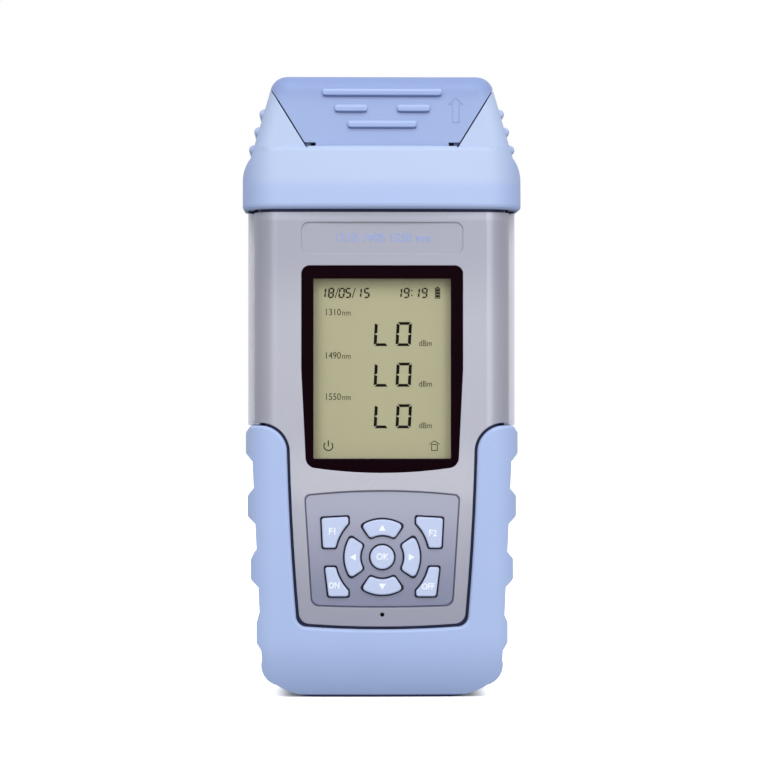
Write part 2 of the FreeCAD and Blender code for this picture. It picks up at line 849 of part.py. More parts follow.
def is_head_top_edge(edge):
    """Whether an edge runs round the head's top, at its front or its sides."""
    room = edge.BoundBox
    return room.ZMin > housing_top + head_height / 2 and room.YMin < head_back - head_corner - 2


def collar_plan(lean):
    """The collar's outline seen from above, its face and back drawn in by a lean."""
    front_crease = (collar_crease_x, -collar_front + collar_crown + lean)
    front_corner = (collar_half_width, front_crease[1] + collar_flank_depth)
    back_crease = (collar_crease_x, collar_back - collar_crown - lean / 2)
    back_corner = (collar_half_width, back_crease[1] - collar_flank_depth)
    return mirrored(in_plan, -collar_front + lean, collar_back - lean / 2, front_crease,
                    (bulged(front_corner, front_crease, -collar_flank_bulge), front_corner),
                    (back_corner,),
                    (bulged(back_crease, back_corner, -collar_flank_bulge), back_crease))


def make_collar():
    """The wide band round the top of the housing."""
    turns = [math.radians(90.0 * step / collar_edge_steps) for step in range(collar_edge_steps + 1)]
    sections = [(cap_bottom + collar_lip_edge * (1.0 - math.cos(turn)),
                 collar_lip_edge * (1.0 - math.sin(turn))) for turn in turns]
    sections += [(collar_top - collar_edge * (1.0 - math.sin(turn)),
                  collar_lean + collar_edge * (1.0 - math.cos(turn))) for turn in turns]
    wires = []
    for z, lean in sections:
        wire = collar_plan(lean)
        wire.translate(Z_AXIS * z)
        wires.append(wire)
    band = Part.makeLoft(wires, True, True)
    front = box(-collar_half_width, collar_half_width, -FAR, FAR, cap_bottom, collar_top)
    front = rounded(front, collar_corner, lambda edge: runs_along(edge, Y_AXIS)
                    and edge.BoundBox.ZMin > collar_top - 1)
    front = rounded(front, collar_lip, lambda edge: runs_along(edge, Y_AXIS)
                    and edge.BoundBox.ZMax < cap_bottom + 1)
    return band.common(front)


def side_rib(index):
    """One grip rib on the right cheek: a round bar with round ends, half sunk in the slope."""
    z = rib_first_z + index * rib_pitch
    x = head_base_half_width - head_slope * (z - housing_top) - rib_sink
    bar = rod(x, -rib_half_length, z, rib_radius, 2 * rib_half_length, Y_AXIS)
    ends = [Part.makeSphere(rib_radius, Vector(x, end * rib_half_length, z)) for end in (-1, 1)]
    return fused([bar] + ends)


def cheek_core():
    """The hollow inside the right cheek, open downwards."""
    low_z = housing_top - PAST
    inner_x = bay_half_width + bay_wall
    drop = bay_wall * split_stretch
    start_z = split_low_z - drop - split_slope * split_low_x
    outer_x = (head_base_half_width - bay_wall - head_slope * (start_z - housing_top))
    outer_x = outer_x / (1.0 + head_slope * split_slope)
    wire = outline(in_front, (inner_x, low_z), ((inner_x, start_z + split_slope * inner_x),),
                   ((outer_x, start_z + split_slope * outer_x),),
                   ((head_base_half_width - bay_wall, low_z),))
    return prism(wire, cheek_front_wall - head_front, head_back - cheek_back_wall)


def hinge_ear():
    """The cap's right knuckle, standing on its back wall."""
    disc = rod(knuckle_inner_x + hinge_gap, hinge_y, hinge_z, knuckle_radius,
               knuckle_outer_x - knuckle_inner_x - hinge_gap, X_AXIS)
    web = box(knuckle_inner_x + hinge_gap, knuckle_outer_x, hinge_y, hinge_y + knuckle_radius,
              shelf_z - ear_root, hinge_z)
    return disc.fuse(web)


def make_top_cap():
    """Collar, ribbed cheeks, back wall and hinge ears, moulded as one soft piece."""
    ribs = [part for index in range(rib_count) for part in both_sides(side_rib(index))]
    cap = fused([make_collar(), head_block()] + ribs)
    tools = [prism(split_outline(0.0, split_low_z), -head_front - cover_gap, cover_seat_y)]
    tools.append(prism(split_outline(cover_step, split_low_z), cover_seat_y - WELD, bay_back))
    tools.append(box(-FAR, FAR, bay_back - WELD, FAR, shelf_z, head_top + PAST))
    tools.append(box(-bay_half_width, bay_half_width, bay_front, bay_back, housing_top - PAST, head_top))
    tools += both_sides(cheek_core())
    tools += list(housing_body(rubber_fit))
    cap = cap.cut(tools)
    cap = fused([cap] + both_sides(hinge_ear()))
    return cap.cut(rod(-FAR, hinge_y, hinge_z, pin_radius, 2 * FAR, X_AXIS))


def finger_bar(x, z, half):
    """One raised bar on the cover: flush at its top edge and proud at its bottom edge."""
    face = -head_front + head_lean * (z - housing_top) / head_height
    low = z - finger_bar_height / 2
    high = z + finger_bar_height / 2
    wedge = prism(outline(in_side, (face + cover_wall / 2, low), ((face - finger_bar_proud, low),),
                          ((face - finger_bar_proud, low + finger_bar_lip),), ((face - WELD, high),),
                          ((face + cover_wall / 2, high),)), x - half, x + half)
    radius = finger_bar_height / 2
    middle = box(x - half + radius, x + half - radius, -FAR, 0, low, high)
    ends = [rod(x + side * (half - radius), -FAR, z, radius, FAR, Y_AXIS) for side in (-1, 1)]
    return wedge.common(fused([middle] + ends))


def make_port_cover():
    """The hinged cover: front, top and sloped sides in one moulding, with a barrel for its pin."""
    edge_y = hinge_y - knuckle_radius - hinge_gap
    seat = cover_seat_y - cover_gap
    share = prism(split_outline(cover_gap, ABOVE), -FAR, seat)
    share = fused([share, prism(split_outline(cover_gap + cover_step, ABOVE), seat - WELD, FAR)])
    shape = head_block().common(share)
    panel = shape.common(box(-FAR, FAR, -FAR, edge_y, housing_top, head_top))
    tongue = shape.common(box(-knuckle_inner_x, knuckle_inner_x, edge_y - PAST, hinge_y, hinge_z, head_top))
    hollow = head_blank(cover_wall).common(
        prism(split_outline(cover_gap + cover_wall, housing_top - PAST), -FAR, FAR))
    barrel = rod(-knuckle_inner_x, hinge_y, hinge_z, knuckle_radius, 2 * knuckle_inner_x, X_AXIS)
    cover = fused([panel.fuse(tongue).cut(hollow), barrel])
    bars = [finger_bar(0.0, finger_bar_top_z, long_bar_half)]
    bars += [finger_bar(side * short_bar_x, finger_bar_top_z - finger_bar_pitch, short_bar_half)
             for side in (-1, 1)]
    bars.append(finger_bar(0.0, finger_bar_top_z - 2 * finger_bar_pitch, middle_bar_half))
    cover = fused([cover] + bars)
    notch = box(split_low_x - notch_length, split_low_x + PAST, -FAR, bay_front, split_low_z - PAST,
                split_low_z + cover_gap + notch_height)
    pin_hole = rod(-FAR, hinge_y, hinge_z, pin_radius + pin_running, 2 * FAR, X_AXIS)
    return cover.cut(both_sides(notch) + [pin_hole])


def make_cover_pin():
    """Plain steel pin, held in the cap's ears."""
    reach = knuckle_outer_x - pin_end_gap
    return rod(-reach, hinge_y, hinge_z, pin_radius, 2 * reach, X_AXIS)


# ---- Optical ports

port_top = housing_top + port_flange_thickness + port_barrel_height
port_foot = housing_top - port_tail_length
sleeve_top = port_top - port_mouth_depth
sleeve_length = port_barrel_height
sleeve_bottom = sleeve_top - sleeve_length


def port_screw_places(side):
    """The two screws of one port, on a diagonal of its flange, in plan."""
    return [(side * port_x + turn * port_screw_offset, port_y + turn * port_screw_offset)
            for turn in (-1, 1)]


def make_port(side):
    """Metal port: square flange, round barrel with a key slot, and a tail that holds the detector."""
    x = side * port_x
    flange = box(x - port_flange / 2, x + port_flange / 2, port_y - port_flange / 2,
                 port_y + port_flange / 2, housing_top, housing_top + port_flange_thickness)
    flange = rounded(flange, port_flange_corner, lambda edge: runs_along(edge, Z_AXIS))
    barrel = rod(x, port_y, housing_top, port_barrel_radius, port_top - housing_top, Z_AXIS)
    barrel = rounded(barrel, port_barrel_edge, lambda edge: edge.BoundBox.ZMin > port_top - WELD)
    tail = rod(x, port_y, port_foot, port_tail_radius, port_tail_length, Z_AXIS)
    body = fused([flange, barrel, tail])
    tools = [rod(x, port_y, port_foot - PAST, sleeve_bore_radius, FAR, Z_AXIS)]
    tools.append(rod(x, port_y, sleeve_bottom - sleeve_fit, sleeve_radius + sleeve_fit,
                     sleeve_length + 2 * sleeve_fit, Z_AXIS))
    tools.append(rod(x, port_y, sleeve_top, port_mouth_radius, FAR, Z_AXIS))
    tools.append(rod(x, port_y, port_foot - PAST, detector_radius + detector_fit,
                     detector_length + PAST + detector_fit, Z_AXIS))
    tools.append(box(x - port_key_width / 2, x + port_key_width / 2, port_y + sleeve_radius + port_key_wall,
                     port_y + FAR, port_top - port_key_depth, port_top + PAST))
    for screw_x_place, screw_y_place in port_screw_places(side):
        tools.append(rod(screw_x_place, screw_y_place, housing_top - PAST,
                         port_screw_shank + thread_fit, FAR, Z_AXIS))
    return body.cut(tools)


def make_sleeve(side):
    """Ceramic alignment sleeve, loose in its port."""
    x = side * port_x
    outside = rod(x, port_y, sleeve_bottom, sleeve_radius, sleeve_length, Z_AXIS)
    bore = rod(x, port_y, sleeve_bottom - PAST, sleeve_bore_radius, sleeve_length + 2 * PAST, Z_AXIS)
    return outside.cut(bore)


def make_detector(side):
    """Light detector: a can in the foot of its port, with two leads."""
    x = side * port_x
    can = rod(x, port_y, port_foot, detector_radius, detector_length, Z_AXIS)
    leads = [rod(x + turn * detector_lead_x, port_y, port_foot - detector_lead_length,
                 detector_lead_radius, detector_lead_length + WELD, Z_AXIS) for turn in (-1, 1)]
    return fused([can] + leads)


def make_port_screws():
    """The four small screws that hold the ports' flanges."""
    seat = housing_top + port_flange_thickness
    screws = []
    for side in (-1, 1):
        for x, y in port_screw_places(side):
            head = rod(x, y, seat, port_screw_head, port_screw_head_height, Z_AXIS)
            shank = rod(x, y, seat - port_screw_length, port_screw_shank, port_screw_length, Z_AXIS)
            screws.append(head.fuse(shank))
    return Part.makeCompound(screws)


# ---- Display

panel_front = window_face + panel_setback
panel_back = panel_front + panel_thickness
carrier_front = wall_inside + panel_fit
carrier_back = board_front - board_fit


def make_window():
    """Clear window that sits in the front shell's recess."""
    return window_block(0.0, window_face, window_face + window_thickness)


def display_block(grow, front, back):
    """The display's outline between two depths."""
    return box(-panel_half_width - grow, panel_half_width + grow, front, back,
               panel_bottom - grow, panel_top + grow)


def make_panel():
    """Glass display panel."""
    return display_block(0.0, panel_front, panel_back)


def make_backlight():
    """Light guide behind the panel."""
    return display_block(0.0, panel_back + panel_fit, carrier_back)


def make_carrier():
    """Frame that holds the panel and its light guide off the board."""
    block = display_block(panel_fit + carrier_wall, carrier_front, carrier_back)
    block = rounded(block, carrier_corner, lambda edge: runs_along(edge, Y_AXIS))
    mouth = display_block(-carrier_mouth, carrier_front - PAST, carrier_back)
    return block.cut([mouth, display_block(panel_fit, panel_front - panel_fit, carrier_back + PAST)])


# ---- Keys

def ring_key(turn, grow, front, back):
    """One key of the ring round OK, between two depths."""
    inner = ring_inner_radius - grow
    outer = ring_outer_radius + grow
    half = math.radians(ring_half_angle) + grow / (0.5 * (inner + outer))
    wire = outline(in_front, (inner * math.cos(half), -inner * math.sin(half)),
                   ((outer * math.cos(half), -outer * math.sin(half)),),
                   ((outer, 0.0), (outer * math.cos(half), outer * math.sin(half))),
                   ((inner * math.cos(half), inner * math.sin(half)),),
                   ((inner, 0.0), (inner * math.cos(half), -inner * math.sin(half))))
    block = rounded(prism(wire, front, back), ring_corner, lambda edge: runs_along(edge, Y_AXIS))
    block.rotate(Vector(0, 0, 0), Y_AXIS, -turn)
    block.translate(Z_AXIS * pad_z)
    return block


def corner_key(side, upper, grow, front, back):
    """One of the four corner keys between two depths; the round cluster cuts its inner corner."""
    if upper:
        corners = ((upper_top_x + grow, upper_top_z + grow),
                   (corner_inner_x - grow, upper_top_z + upper_rise + grow),
                   (corner_inner_x - grow, upper_low_z - grow), (upper_low_x + grow, upper_low_z - grow))
    else:
        corners = ((lower_top_x + grow, lower_top_z + grow), (corner_inner_x - grow, lower_top_z + grow),
                   (corner_inner_x - grow, lower_low_z - grow), (lower_low_x + grow, lower_low_z - grow))
    points = [(side * x, z) for x, z in corners]
    block = prism(outline(in_front, points[0], *[(point,) for point in points[1:]]), front, back)
    cluster = rod(0, front - PAST, pad_z, corner_arc_radius - grow, back - front + 2 * PAST, Y_AXIS)
    block = block.cut(cluster)
    return rounded(block, key_corner, lambda edge: runs_along(edge, Y_AXIS))


def key_blocks(grow, front, back):
    """Every key's outline between two depths, made larger by a distance: names and solids."""
    blocks = [("key_ok", rod(0, front, pad_z, ok_radius + grow, back - front, Y_AXIS))]
    for name, turn in (("key_right", 0), ("key_up", 90), ("key_left", 180), ("key_down", 270)):
        blocks.append((name, ring_key(turn, grow, front, back)))
    for name, side, upper in (("key_f1", -1, True), ("key_f2", 1, True),
                              ("key_on", -1, False), ("key_off", 1, False)):
        blocks.append((name, corner_key(side, upper, grow, front, back)))
    return blocks


key_front = pad_floor - key_proud
key_flange_front = wall_inside + key_slack
key_flange_back = key_flange_front + key_flange_thickness
dome_top = key_flange_back + key_stem_length + key_travel
mat_back = board_front - board_fit
mat_front = mat_back - mat_thickness


def stem_places():
    """The middle of each key in the front view, where its stem meets the mat."""
    middles = {name: block.Solids[0].CenterOfMass
               for name, block in key_blocks(0.0, key_front, key_flange_front)}
    return {name: (middle.x, middle.z) for name, middle in middles.items()}


def make_keys():
    """The nine keys: cap, retaining flange behind the shell, and stem."""
    places = stem_places()
    flanges = dict(key_blocks(key_flange, key_flange_front, key_flange_back))
    keys = {}
    for name, cap in key_blocks(0.0, key_front, key_flange_front + WELD):
        cap = rounded(cap, key_edge, lambda edge: edge.BoundBox.YMax < key_front + WELD)
        x, z = places[name]
        stem = rod(x, key_flange_back - WELD, z, dome_top_radius, key_stem_length + WELD, Y_AXIS)
        keys[name] = fused([cap, flanges[name], stem])
    return keys


def make_key_mat():
    """Silicone mat with a dome under every key."""
    x = upper_top_x + key_flange + mat_margin
    mat = box(-x, x, mat_front, mat_back, lower_low_z - key_flange - mat_margin,
              upper_top_z + upper_rise + key_flange + mat_margin)
    mat = rounded(mat, key_corner, lambda edge: runs_along(edge, Y_AXIS))
    domes = [Part.makeCone(dome_top_radius, dome_radius, mat_front - dome_top + WELD,
                           Vector(x, dome_top, z), Y_AXIS) for x, z in stem_places().values()]
    return fused([mat] + domes)


# ---- Board and what it carries

def make_board():
    """Main board, narrower at its foot, with its screw holes."""
    wire = mirrored(in_front, board_top, board_bottom, (board_half_width, board_top),
                    ((board_half_width, pad_z),), ((board_low_half_width, board_bottom),))
    board = prism(wire, board_front, board_back)
    board = rounded(board, board_corner,
                    lambda edge: runs_along(edge, Y_AXIS) and abs(edge.BoundBox.ZMin - pad_z) > 1)
    holes = [rod(x, board_front - PAST, z, screw_clear_radius, board_thickness + 2 * PAST, Y_AXIS)
             for x, z in board_screw_places()]
    return board.cut(holes)


def make_buzzer():
    """Round buzzer behind the pinhole, on the board."""
    return rod(0, board_front - board_fit - buzzer_height, pinhole_z - buzzer_drop, buzzer_radius,
               buzzer_height, Y_AXIS)


def make_splitter_module():
    """Sealed wavelength splitter on the board's back."""
    block = box(-module_half_width, module_half_width, board_back + board_fit,
                board_back + board_fit + module_thickness, module_bottom, module_top)
    return rounded(block, module_corner, lambda edge: runs_along(edge, Y_AXIS))


# ---- Screws

def pan_screw(x, seat, z, tip):
    """A screw driven from the back: its head against a seat, its shank as far as a tip."""
    head = rod(x, seat, z, screw_head_radius, screw_head_height, Y_AXIS)
    head = rounded(head, screw_head_edge,
                   lambda edge: edge.BoundBox.YMin > seat + screw_head_height - WELD)
    shank = rod(x, tip, z, screw_shank_radius, seat - tip + WELD, Y_AXIS)
    return head.fuse(shank)


def make_housing_screws():
    """Six screws through the rear shell's bosses."""
    tip = screw_tip_y + screw_hole_past
    return Part.makeCompound([pan_screw(x, screw_seat_y, z, tip) for x, z in screw_places()])


def make_board_screws():
    """Six screws that hold the board to the front shell."""
    return Part.makeCompound([pan_screw(x, board_back, z, board_back - board_screw_length)
                              for x, z in board_screw_places()])


# ---- Battery

cell_y = cover_inner_y - cover_fit - cell_radius
cell_bottom = bay_bottom + contact_length + cell_slack / 2


def cell_x(index):
    """Where a cell's axis is, across the meter."""
    return (index - (cell_count - 1) / 2) * cell_pitch


def make_cell(index):
    """A sealed AA cell; the middle one of the row is upside down."""
    shape = rod(0, 0, 0, cell_radius, cell_length, Z_AXIS)
    shape = rounded(shape, cell_edge, lambda edge: isinstance(edge.Curve, Part.Circle))
    nub = rod(0, 0, cell_length - WELD, cell_nub_radius, cell_nub_length + WELD, Z_AXIS)
    cell = fused([shape, nub])
    if index % 2:
        cell.rotate(Vector(0, 0, (cell_length + cell_nub_length) / 2), X_AXIS, 180)
    cell.translate(Vector(cell_x(index), cell_y, cell_bottom))
    return cell


def contact(index, z, facing):
    """One stamped contact: a plate against the bay's end and a bowed tongue towards the cell."""
    x = cell_x(index)
    start = cell_y - contact_half_width
    end = cell_y + contact_half_width
    plate = box(x - contact_half_width, x + contact_half_width, start, end, 0, contact_plate)
    foot = contact_plate - WELD
    crest = contact_length - WELD
    wire = outline(in_side, (start + tongue_inset, foot), ((cell_y, crest), (end - tongue_inset, foot)),
                   ((end - tongue_inset - tongue_foot, foot),),
                   ((cell_y, crest - contact_plate), (start + tongue_inset + tongue_foot, foot)))
    tongue = prism(wire, x - tongue_half_width, x + tongue_half_width)
    shape = fused([plate, tongue])
    if facing < 0:
        shape.rotate(Vector(0, 0, 0), X_AXIS, 180)
        shape.translate(Y_AXIS * 2 * cell_y)
    shape.translate(Z_AXIS * z)
    return shape


def make_contacts(z, facing):
    """The row of contacts at one end of the bay."""
    return Part.makeCompound([contact(index, z, facing) for index in range(cell_count)])


def make_battery_cover():
    """Cover cut to the back's own curve, with a locating rim inside and grip ribs outside."""
    _, outer = housing_body(0.0)
    cover = outer.common(cover_block(0.0, cover_inner_y, rear_y + PAST))
    rim_x = bay_half_x - cover_fit
    low = bay_bottom + cover_fit
    high = bay_top_z - cover_fit
    rim = box(-rim_x, rim_x, cover_inner_y - cover_fit, cover_inner_y + WELD, low, high)
    cover = fused([cover, rim])
    first = bay_top_z - grip_drop
    grooves = [rod(-grip_half_length, rear_y, first - index * grip_pitch, grip_radius,
                   2 * grip_half_length, X_AXIS) for index in range(grip_count)]
    return cover.cut(grooves)


def make_parts():
    """Every piece of the meter by name."""
    parts = {"front_housing": make_front_housing(), "rear_housing": make_rear_housing(),
             "lower_boot": make_lower_boot(), "top_cap": make_top_cap(),
             "port_cover": make_port_cover(), "cover_hinge_pin": make_cover_pin()}
    for name, side in (("left", -1), ("right", 1)):
        parts["optical_port_" + name] = make_port(side)
        parts["port_sleeve_" + name] = make_sleeve(side)
        parts["light_detector_" + name] = make_detector(side)
    parts["port_screws"] = make_port_screws()
    parts["display_window"] = make_window()
    parts["display_panel"] = make_panel()
    parts["display_backlight"] = make_backlight()
    parts["display_carrier"] = make_carrier()
    parts.update(make_keys())
    parts["key_mat"] = make_key_mat()
    parts["main_board"] = make_board()
    parts["buzzer"] = make_buzzer()
    parts["splitter_module"] = make_splitter_module()
    parts["board_screws"] = make_board_screws()
    parts["housing_screws"] = make_housing_screws()
    parts["battery_cover"] = make_battery_cover()
    for index in range(cell_count):
        parts["battery_cell_" + str(index + 1)] = make_cell(index)
    parts["battery_contacts_low"] = make_contacts(bay_bottom, 1)
    parts["battery_contacts_high"] = make_contacts(bay_top_z, -1)
    return parts


os.makedirs("parts", exist_ok=True)
for part_name, part_shape in make_parts().items():
    solids = part_shape.Solids
    whole = solids[0] if len(solids) == 1 else Part.makeCompound(solids)
    whole.exportStep("parts/" + part_name + ".step")
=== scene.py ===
import json
import math

import bpy
from mathutils import Matrix, Vector

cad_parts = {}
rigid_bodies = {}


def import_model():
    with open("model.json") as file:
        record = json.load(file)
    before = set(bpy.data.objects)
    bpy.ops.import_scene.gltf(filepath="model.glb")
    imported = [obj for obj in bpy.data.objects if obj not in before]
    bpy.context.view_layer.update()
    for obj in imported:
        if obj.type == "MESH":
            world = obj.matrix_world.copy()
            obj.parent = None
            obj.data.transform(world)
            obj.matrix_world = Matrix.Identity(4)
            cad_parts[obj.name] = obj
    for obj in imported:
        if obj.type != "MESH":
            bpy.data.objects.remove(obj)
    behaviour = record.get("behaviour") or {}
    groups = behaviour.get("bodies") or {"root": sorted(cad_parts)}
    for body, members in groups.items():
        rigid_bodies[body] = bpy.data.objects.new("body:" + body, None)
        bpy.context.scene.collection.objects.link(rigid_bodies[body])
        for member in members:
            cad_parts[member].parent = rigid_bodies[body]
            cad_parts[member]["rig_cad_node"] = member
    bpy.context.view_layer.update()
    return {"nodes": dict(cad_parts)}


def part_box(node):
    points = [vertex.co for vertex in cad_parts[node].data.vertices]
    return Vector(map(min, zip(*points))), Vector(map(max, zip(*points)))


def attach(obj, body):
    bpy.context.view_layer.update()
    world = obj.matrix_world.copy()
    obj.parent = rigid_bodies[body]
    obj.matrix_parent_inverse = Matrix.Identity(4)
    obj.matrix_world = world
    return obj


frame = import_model()
nodes = frame["nodes"]
MM = 0.001


# ---- Front housing: moulded ABS shell with a satin grey finish. Its keypad field and its name field
# are sunk into the face; the keypad field is a little rougher and darker, with painted shade deepening
# downwards.

class Value:
    """One output of a shader node. Each operator adds the Math node that it stands for."""

    def __init__(self, finish, socket):
        self.finish = finish
        self.socket = socket

    def math(self, operation, *terms):
        return self.finish.node("ShaderNodeMath", {"operation": operation}, *terms)

    def __add__(self, other):
        return self.math("ADD", self, other)

    def __sub__(self, other):
        return self.math("SUBTRACT", self, other)

    def __rsub__(self, other):
        return self.math("SUBTRACT", other, self)

    def __mul__(self, other):
        return self.math("MULTIPLY", self, other)

    def __truediv__(self, other):
        return self.math("DIVIDE", self, other)

    def __rtruediv__(self, other):
        return self.math("DIVIDE", other, self)

    def __abs__(self):
        return self.math("ABSOLUTE", self)

    def larger(self, other):
        return self.math("MAXIMUM", self, other)

    def root(self):
        return self.math("SQRT", self)

    def step(self, low, high):
        """0 below low and 1 above high, smooth between; where low is the larger, it falls instead."""
        smooth = {"interpolation_type": "SMOOTHSTEP"}
        if low < high:
            return self.finish.node("ShaderNodeMapRange", smooth, self, low, high, 0.0, 1.0)
        return self.finish.node("ShaderNodeMapRange", smooth, self, high, low, 1.0, 0.0)

    __radd__ = __add__
    __rmul__ = __mul__


class Finish:
    """A material being made: node() adds any shader node, and the other methods are its common uses."""

    def __init__(self, name):
        self.material = bpy.data.materials.new(name)
        self.material.use_nodes = True
        self.tree = self.material.node_tree
        self.tree.nodes.clear()
        self.where = self.node("ShaderNodeTexCoord", take="Object")

    def node(self, kind, settings=None, *values, take=0, **named):
        """Adds a node, sets it up, then fills its sockets by place or by name. Gives one output."""
        made = self.tree.nodes.new(kind)
        for name, setting in (settings or {}).items():
            setattr(made, name, setting)
        for place, value in list(enumerate(values)) + list(named.items()):
            socket = made.inputs[place if isinstance(place, int) else place.replace("_", " ")]
            if isinstance(value, Value):
                self.tree.links.new(value.socket, socket)
            elif value is not None:
                socket.default_value = value
        return Value(self, made.outputs[take])

    def place(self):
        """The object coordinates x, y and z in millimetres."""
        return [self.node("ShaderNodeSeparateXYZ", None, self.where, take=axis) / MM
                for axis in range(3)]

    def noise(self, size, detail=2.0):
        """Noise from 0 to 1 with lumps of about that many millimetres."""
        return self.node("ShaderNodeTexNoise", None, Vector=self.where, Scale=1 / (size * MM),
                         Detail=detail)

    def mix(self, share, first, second):
        """The first colour where the share is 0, and the second where it is 1."""
        unused = [None] * 5
        return self.node("ShaderNodeMix", {"data_type": "RGBA"}, share, *unused, first, second, take=2)

    def bump(self, height, depth, edge=0.0):
        """The normal of a height from 0 to 1 that is so many millimetres deep, over softened edges."""
        under = self.node("ShaderNodeBevel", {"samples": 6}, edge * MM) if edge else None
        return self.node("ShaderNodeBump", None, Distance=depth * MM, Height=height, Normal=under)

    def done(self, **sockets):
        """Closes the material with one Principled shader that has these sockets."""
        shader = self.node("ShaderNodeBsdfPrincipled", None, **sockets)
        output = self.tree.nodes.new("ShaderNodeOutputMaterial")
        self.tree.links.new(shader.socket, output.inputs["Surface"])
        return self.material


def tint(red, green, blue):
    """A colour given as it looks on a screen, from 0 to 255, as Blender's linear values."""
    linear = [part / 12.92 if part <= 0.04045 else ((part + 0.055) / 1.055) ** 2.4
              for part in (red / 255, green / 255, blue / 255)]
    return (*linear, 1.0)


def dress(material, *names):
    """Gives CAD nodes a material in place of their own."""
    for name in names:
        nodes[name].data.materials.clear()
        nodes[name].data.materials.append(material)


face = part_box("front_housing")[0][1] / MM
pad_middle = (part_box("key_ok")[0][2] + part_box("key_ok")[1][2]) / 2 / MM
pad_half_width = 25.2         # the keypad field, measured from the middle of its keys
pad_up = 21.4
pad_down = 16.2
pad_fade = 0.3
recess_start = 0.6            # a recess starts this far behind the face
boot_groove_start = 0.92      # painted shade darkens the groove round the boot's opening from here,
pad_line_start = 0.95         # painted shade dims the line round the keypad field from here,
key_hole_start = 1.25         # and painted shade darkens the key holes from here
crease_x = 33.4               # the flanks start here
pad_edge_x = 26.1             # the keypad field and its line lie inside these
pad_edge_low = 27.0
pad_edge_high = 67.0
lip_z = 156.1                 # the painted shade of the groove under the cap's lip starts here
hidden_z = 160.0              # and from here up the shells are inside the cap
shoulder_x = 39.1             # middle of the rounded shoulder of each arm of the boot
shoulder_z = 78.9
shoulder_radius = 8.5
shoulder_end = 0.4            # the groove's painted shade ends this far outside that middle
groove_width = 0.9
edge = 0.06                   # half the width over which paint fades
# Painted shade: this navy stands in for the shade in grooves, key holes, joints and along the sole's
# edge.
painted_shade_navy = tint(24, 32, 76)

# Painted shade on the grey by height: where a shade starts, where it is full, and its colour.
shade_over_display = (118.0, 146.0, (157, 158, 172))
shadow_under_cap = (152.8, 154.5, (172, 173, 187))
shade_beside_boot = (66.0, 24.0, (150, 151, 167))


def groove_shade_paint(x, z):
    """1 where painted shade darkens the groove round the boot's shoulders and under the cap's lip."""
    across = abs(x) - shoulder_x
    up = z - shoulder_z
    reach = (across * across + up * up).root()
    outside = shoulder_radius + groove_width
    ring = (reach.step(shoulder_radius - 2 * edge, shoulder_radius)
            * reach.step(outside + edge, outside - edge)
            * up.step(-edge, edge) * across.step(shoulder_end + 0.1, shoulder_end - 0.1))
    return ring.larger(z.step(lip_z - edge, lip_z + edge) * z.step(hidden_z, hidden_z - edge))


def shaded(finish, colour, height, shade):
    """The colour, changing to a painted shade over its range of heights."""
    start, full, wanted = shade
    return finish.mix(height.step(start, full), colour, tint(*wanted))


def grey_housing():
    """Satin grey with a faint pearl speckle and painted light and shade: height bands, darker flanks, a
    lighter band by the keypad's top, darkening down the keypad field, navy in grooves and key holes.
    """
    finish = Finish("satin_grey")
    x, y, z = finish.place()
    aside = abs(x)
    deep = y - face
    up = z - pad_middle
    field = (aside.step(pad_half_width + pad_fade, pad_half_width - pad_fade)
             * up.step(pad_up + pad_fade, pad_up - pad_fade)
             * up.step(-pad_down - pad_fade, -pad_down + pad_fade)
             * deep.step(recess_start - 0.1, recess_start))
    beyond_pad = (aside.step(pad_edge_x - edge, pad_edge_x + edge)
                  .larger(z.step(pad_edge_low + edge, pad_edge_low - edge)))
    boot_groove = beyond_pad * deep.step(boot_groove_start - edge, boot_groove_start + edge)
    key_hole = deep.step(key_hole_start - edge, key_hole_start + edge)
    # Painted shade: the key holes and the groove round the boot are painted navy.
    sunk_shade = (aside.step(crease_x + edge, crease_x - edge) * z.step(hidden_z, hidden_z - edge)
            * key_hole.larger(boot_groove))
    cloud = finish.noise(26.0)
    speckle = finish.noise(0.22, 3.0)
    colour = finish.mix(cloud, tint(171, 172, 185), tint(177, 177, 189))
    colour = shaded(finish, colour, z, shade_over_display)
    colour = shaded(finish, colour, z, shadow_under_cap)
    # Painted light: a lighter band between heights of about 60 and 86, level with the keypad field's
    # top.
    colour = finish.mix(z.step(60.0, 67.0) * z.step(86.0, 72.0), colour, tint(184, 185, 196))
    colour = shaded(finish, colour, z, shade_beside_boot)
    # Painted shade: the flanks darker as they turn away from the light.
    colour = finish.mix(aside.step(33.0, 41.0) * 0.6, colour, tint(148, 149, 164))
    colour = finish.mix(speckle.step(0.35, 0.75) * 0.35, colour, tint(156, 157, 173))
    # The keypad field's own darker tint, with painted shade deepening towards its bottom.
    pad_with_shade = finish.mix(up.step(pad_up, -pad_down), tint(164, 166, 185), tint(130, 134, 158))
    colour = finish.mix(field, colour, pad_with_shade)
    # Painted shade: the groove round the keypad field half darkened.
    line = (aside.step(pad_edge_x + edge, pad_edge_x - edge)
            * z.step(pad_edge_low - edge, pad_edge_low + edge)
            * z.step(pad_edge_high + edge, pad_edge_high - edge)
            * deep.step(pad_line_start - edge, pad_line_start + edge))
    colour = finish.mix(line * 0.5, colour, tint(84, 88, 122))
    # Painted shade: navy in the grooves round the boot and under the cap's lip, and in the key holes.
    colour = finish.mix(groove_shade_paint(x, z).larger(sunk_shade), colour, painted_shade_navy)
    grain = finish.noise(0.35, 2.0)
    rough = 0.36 + speckle * 0.08 + field * 0.1
    return finish.done(Base_Color=colour, Roughness=rough, Normal=finish.bump(grain, 0.006, 0.35),
                       Metallic=0.35, Specular_IOR_Level=0.5)


housing_grey = grey_housing()
dress(housing_grey, "front_housing")


# ---- Rear housing and battery cover: the same plastic with a coarser spark-eroded grain, as on the
# back of most hand-held meters. The cover lies flush in the back, over the cells.

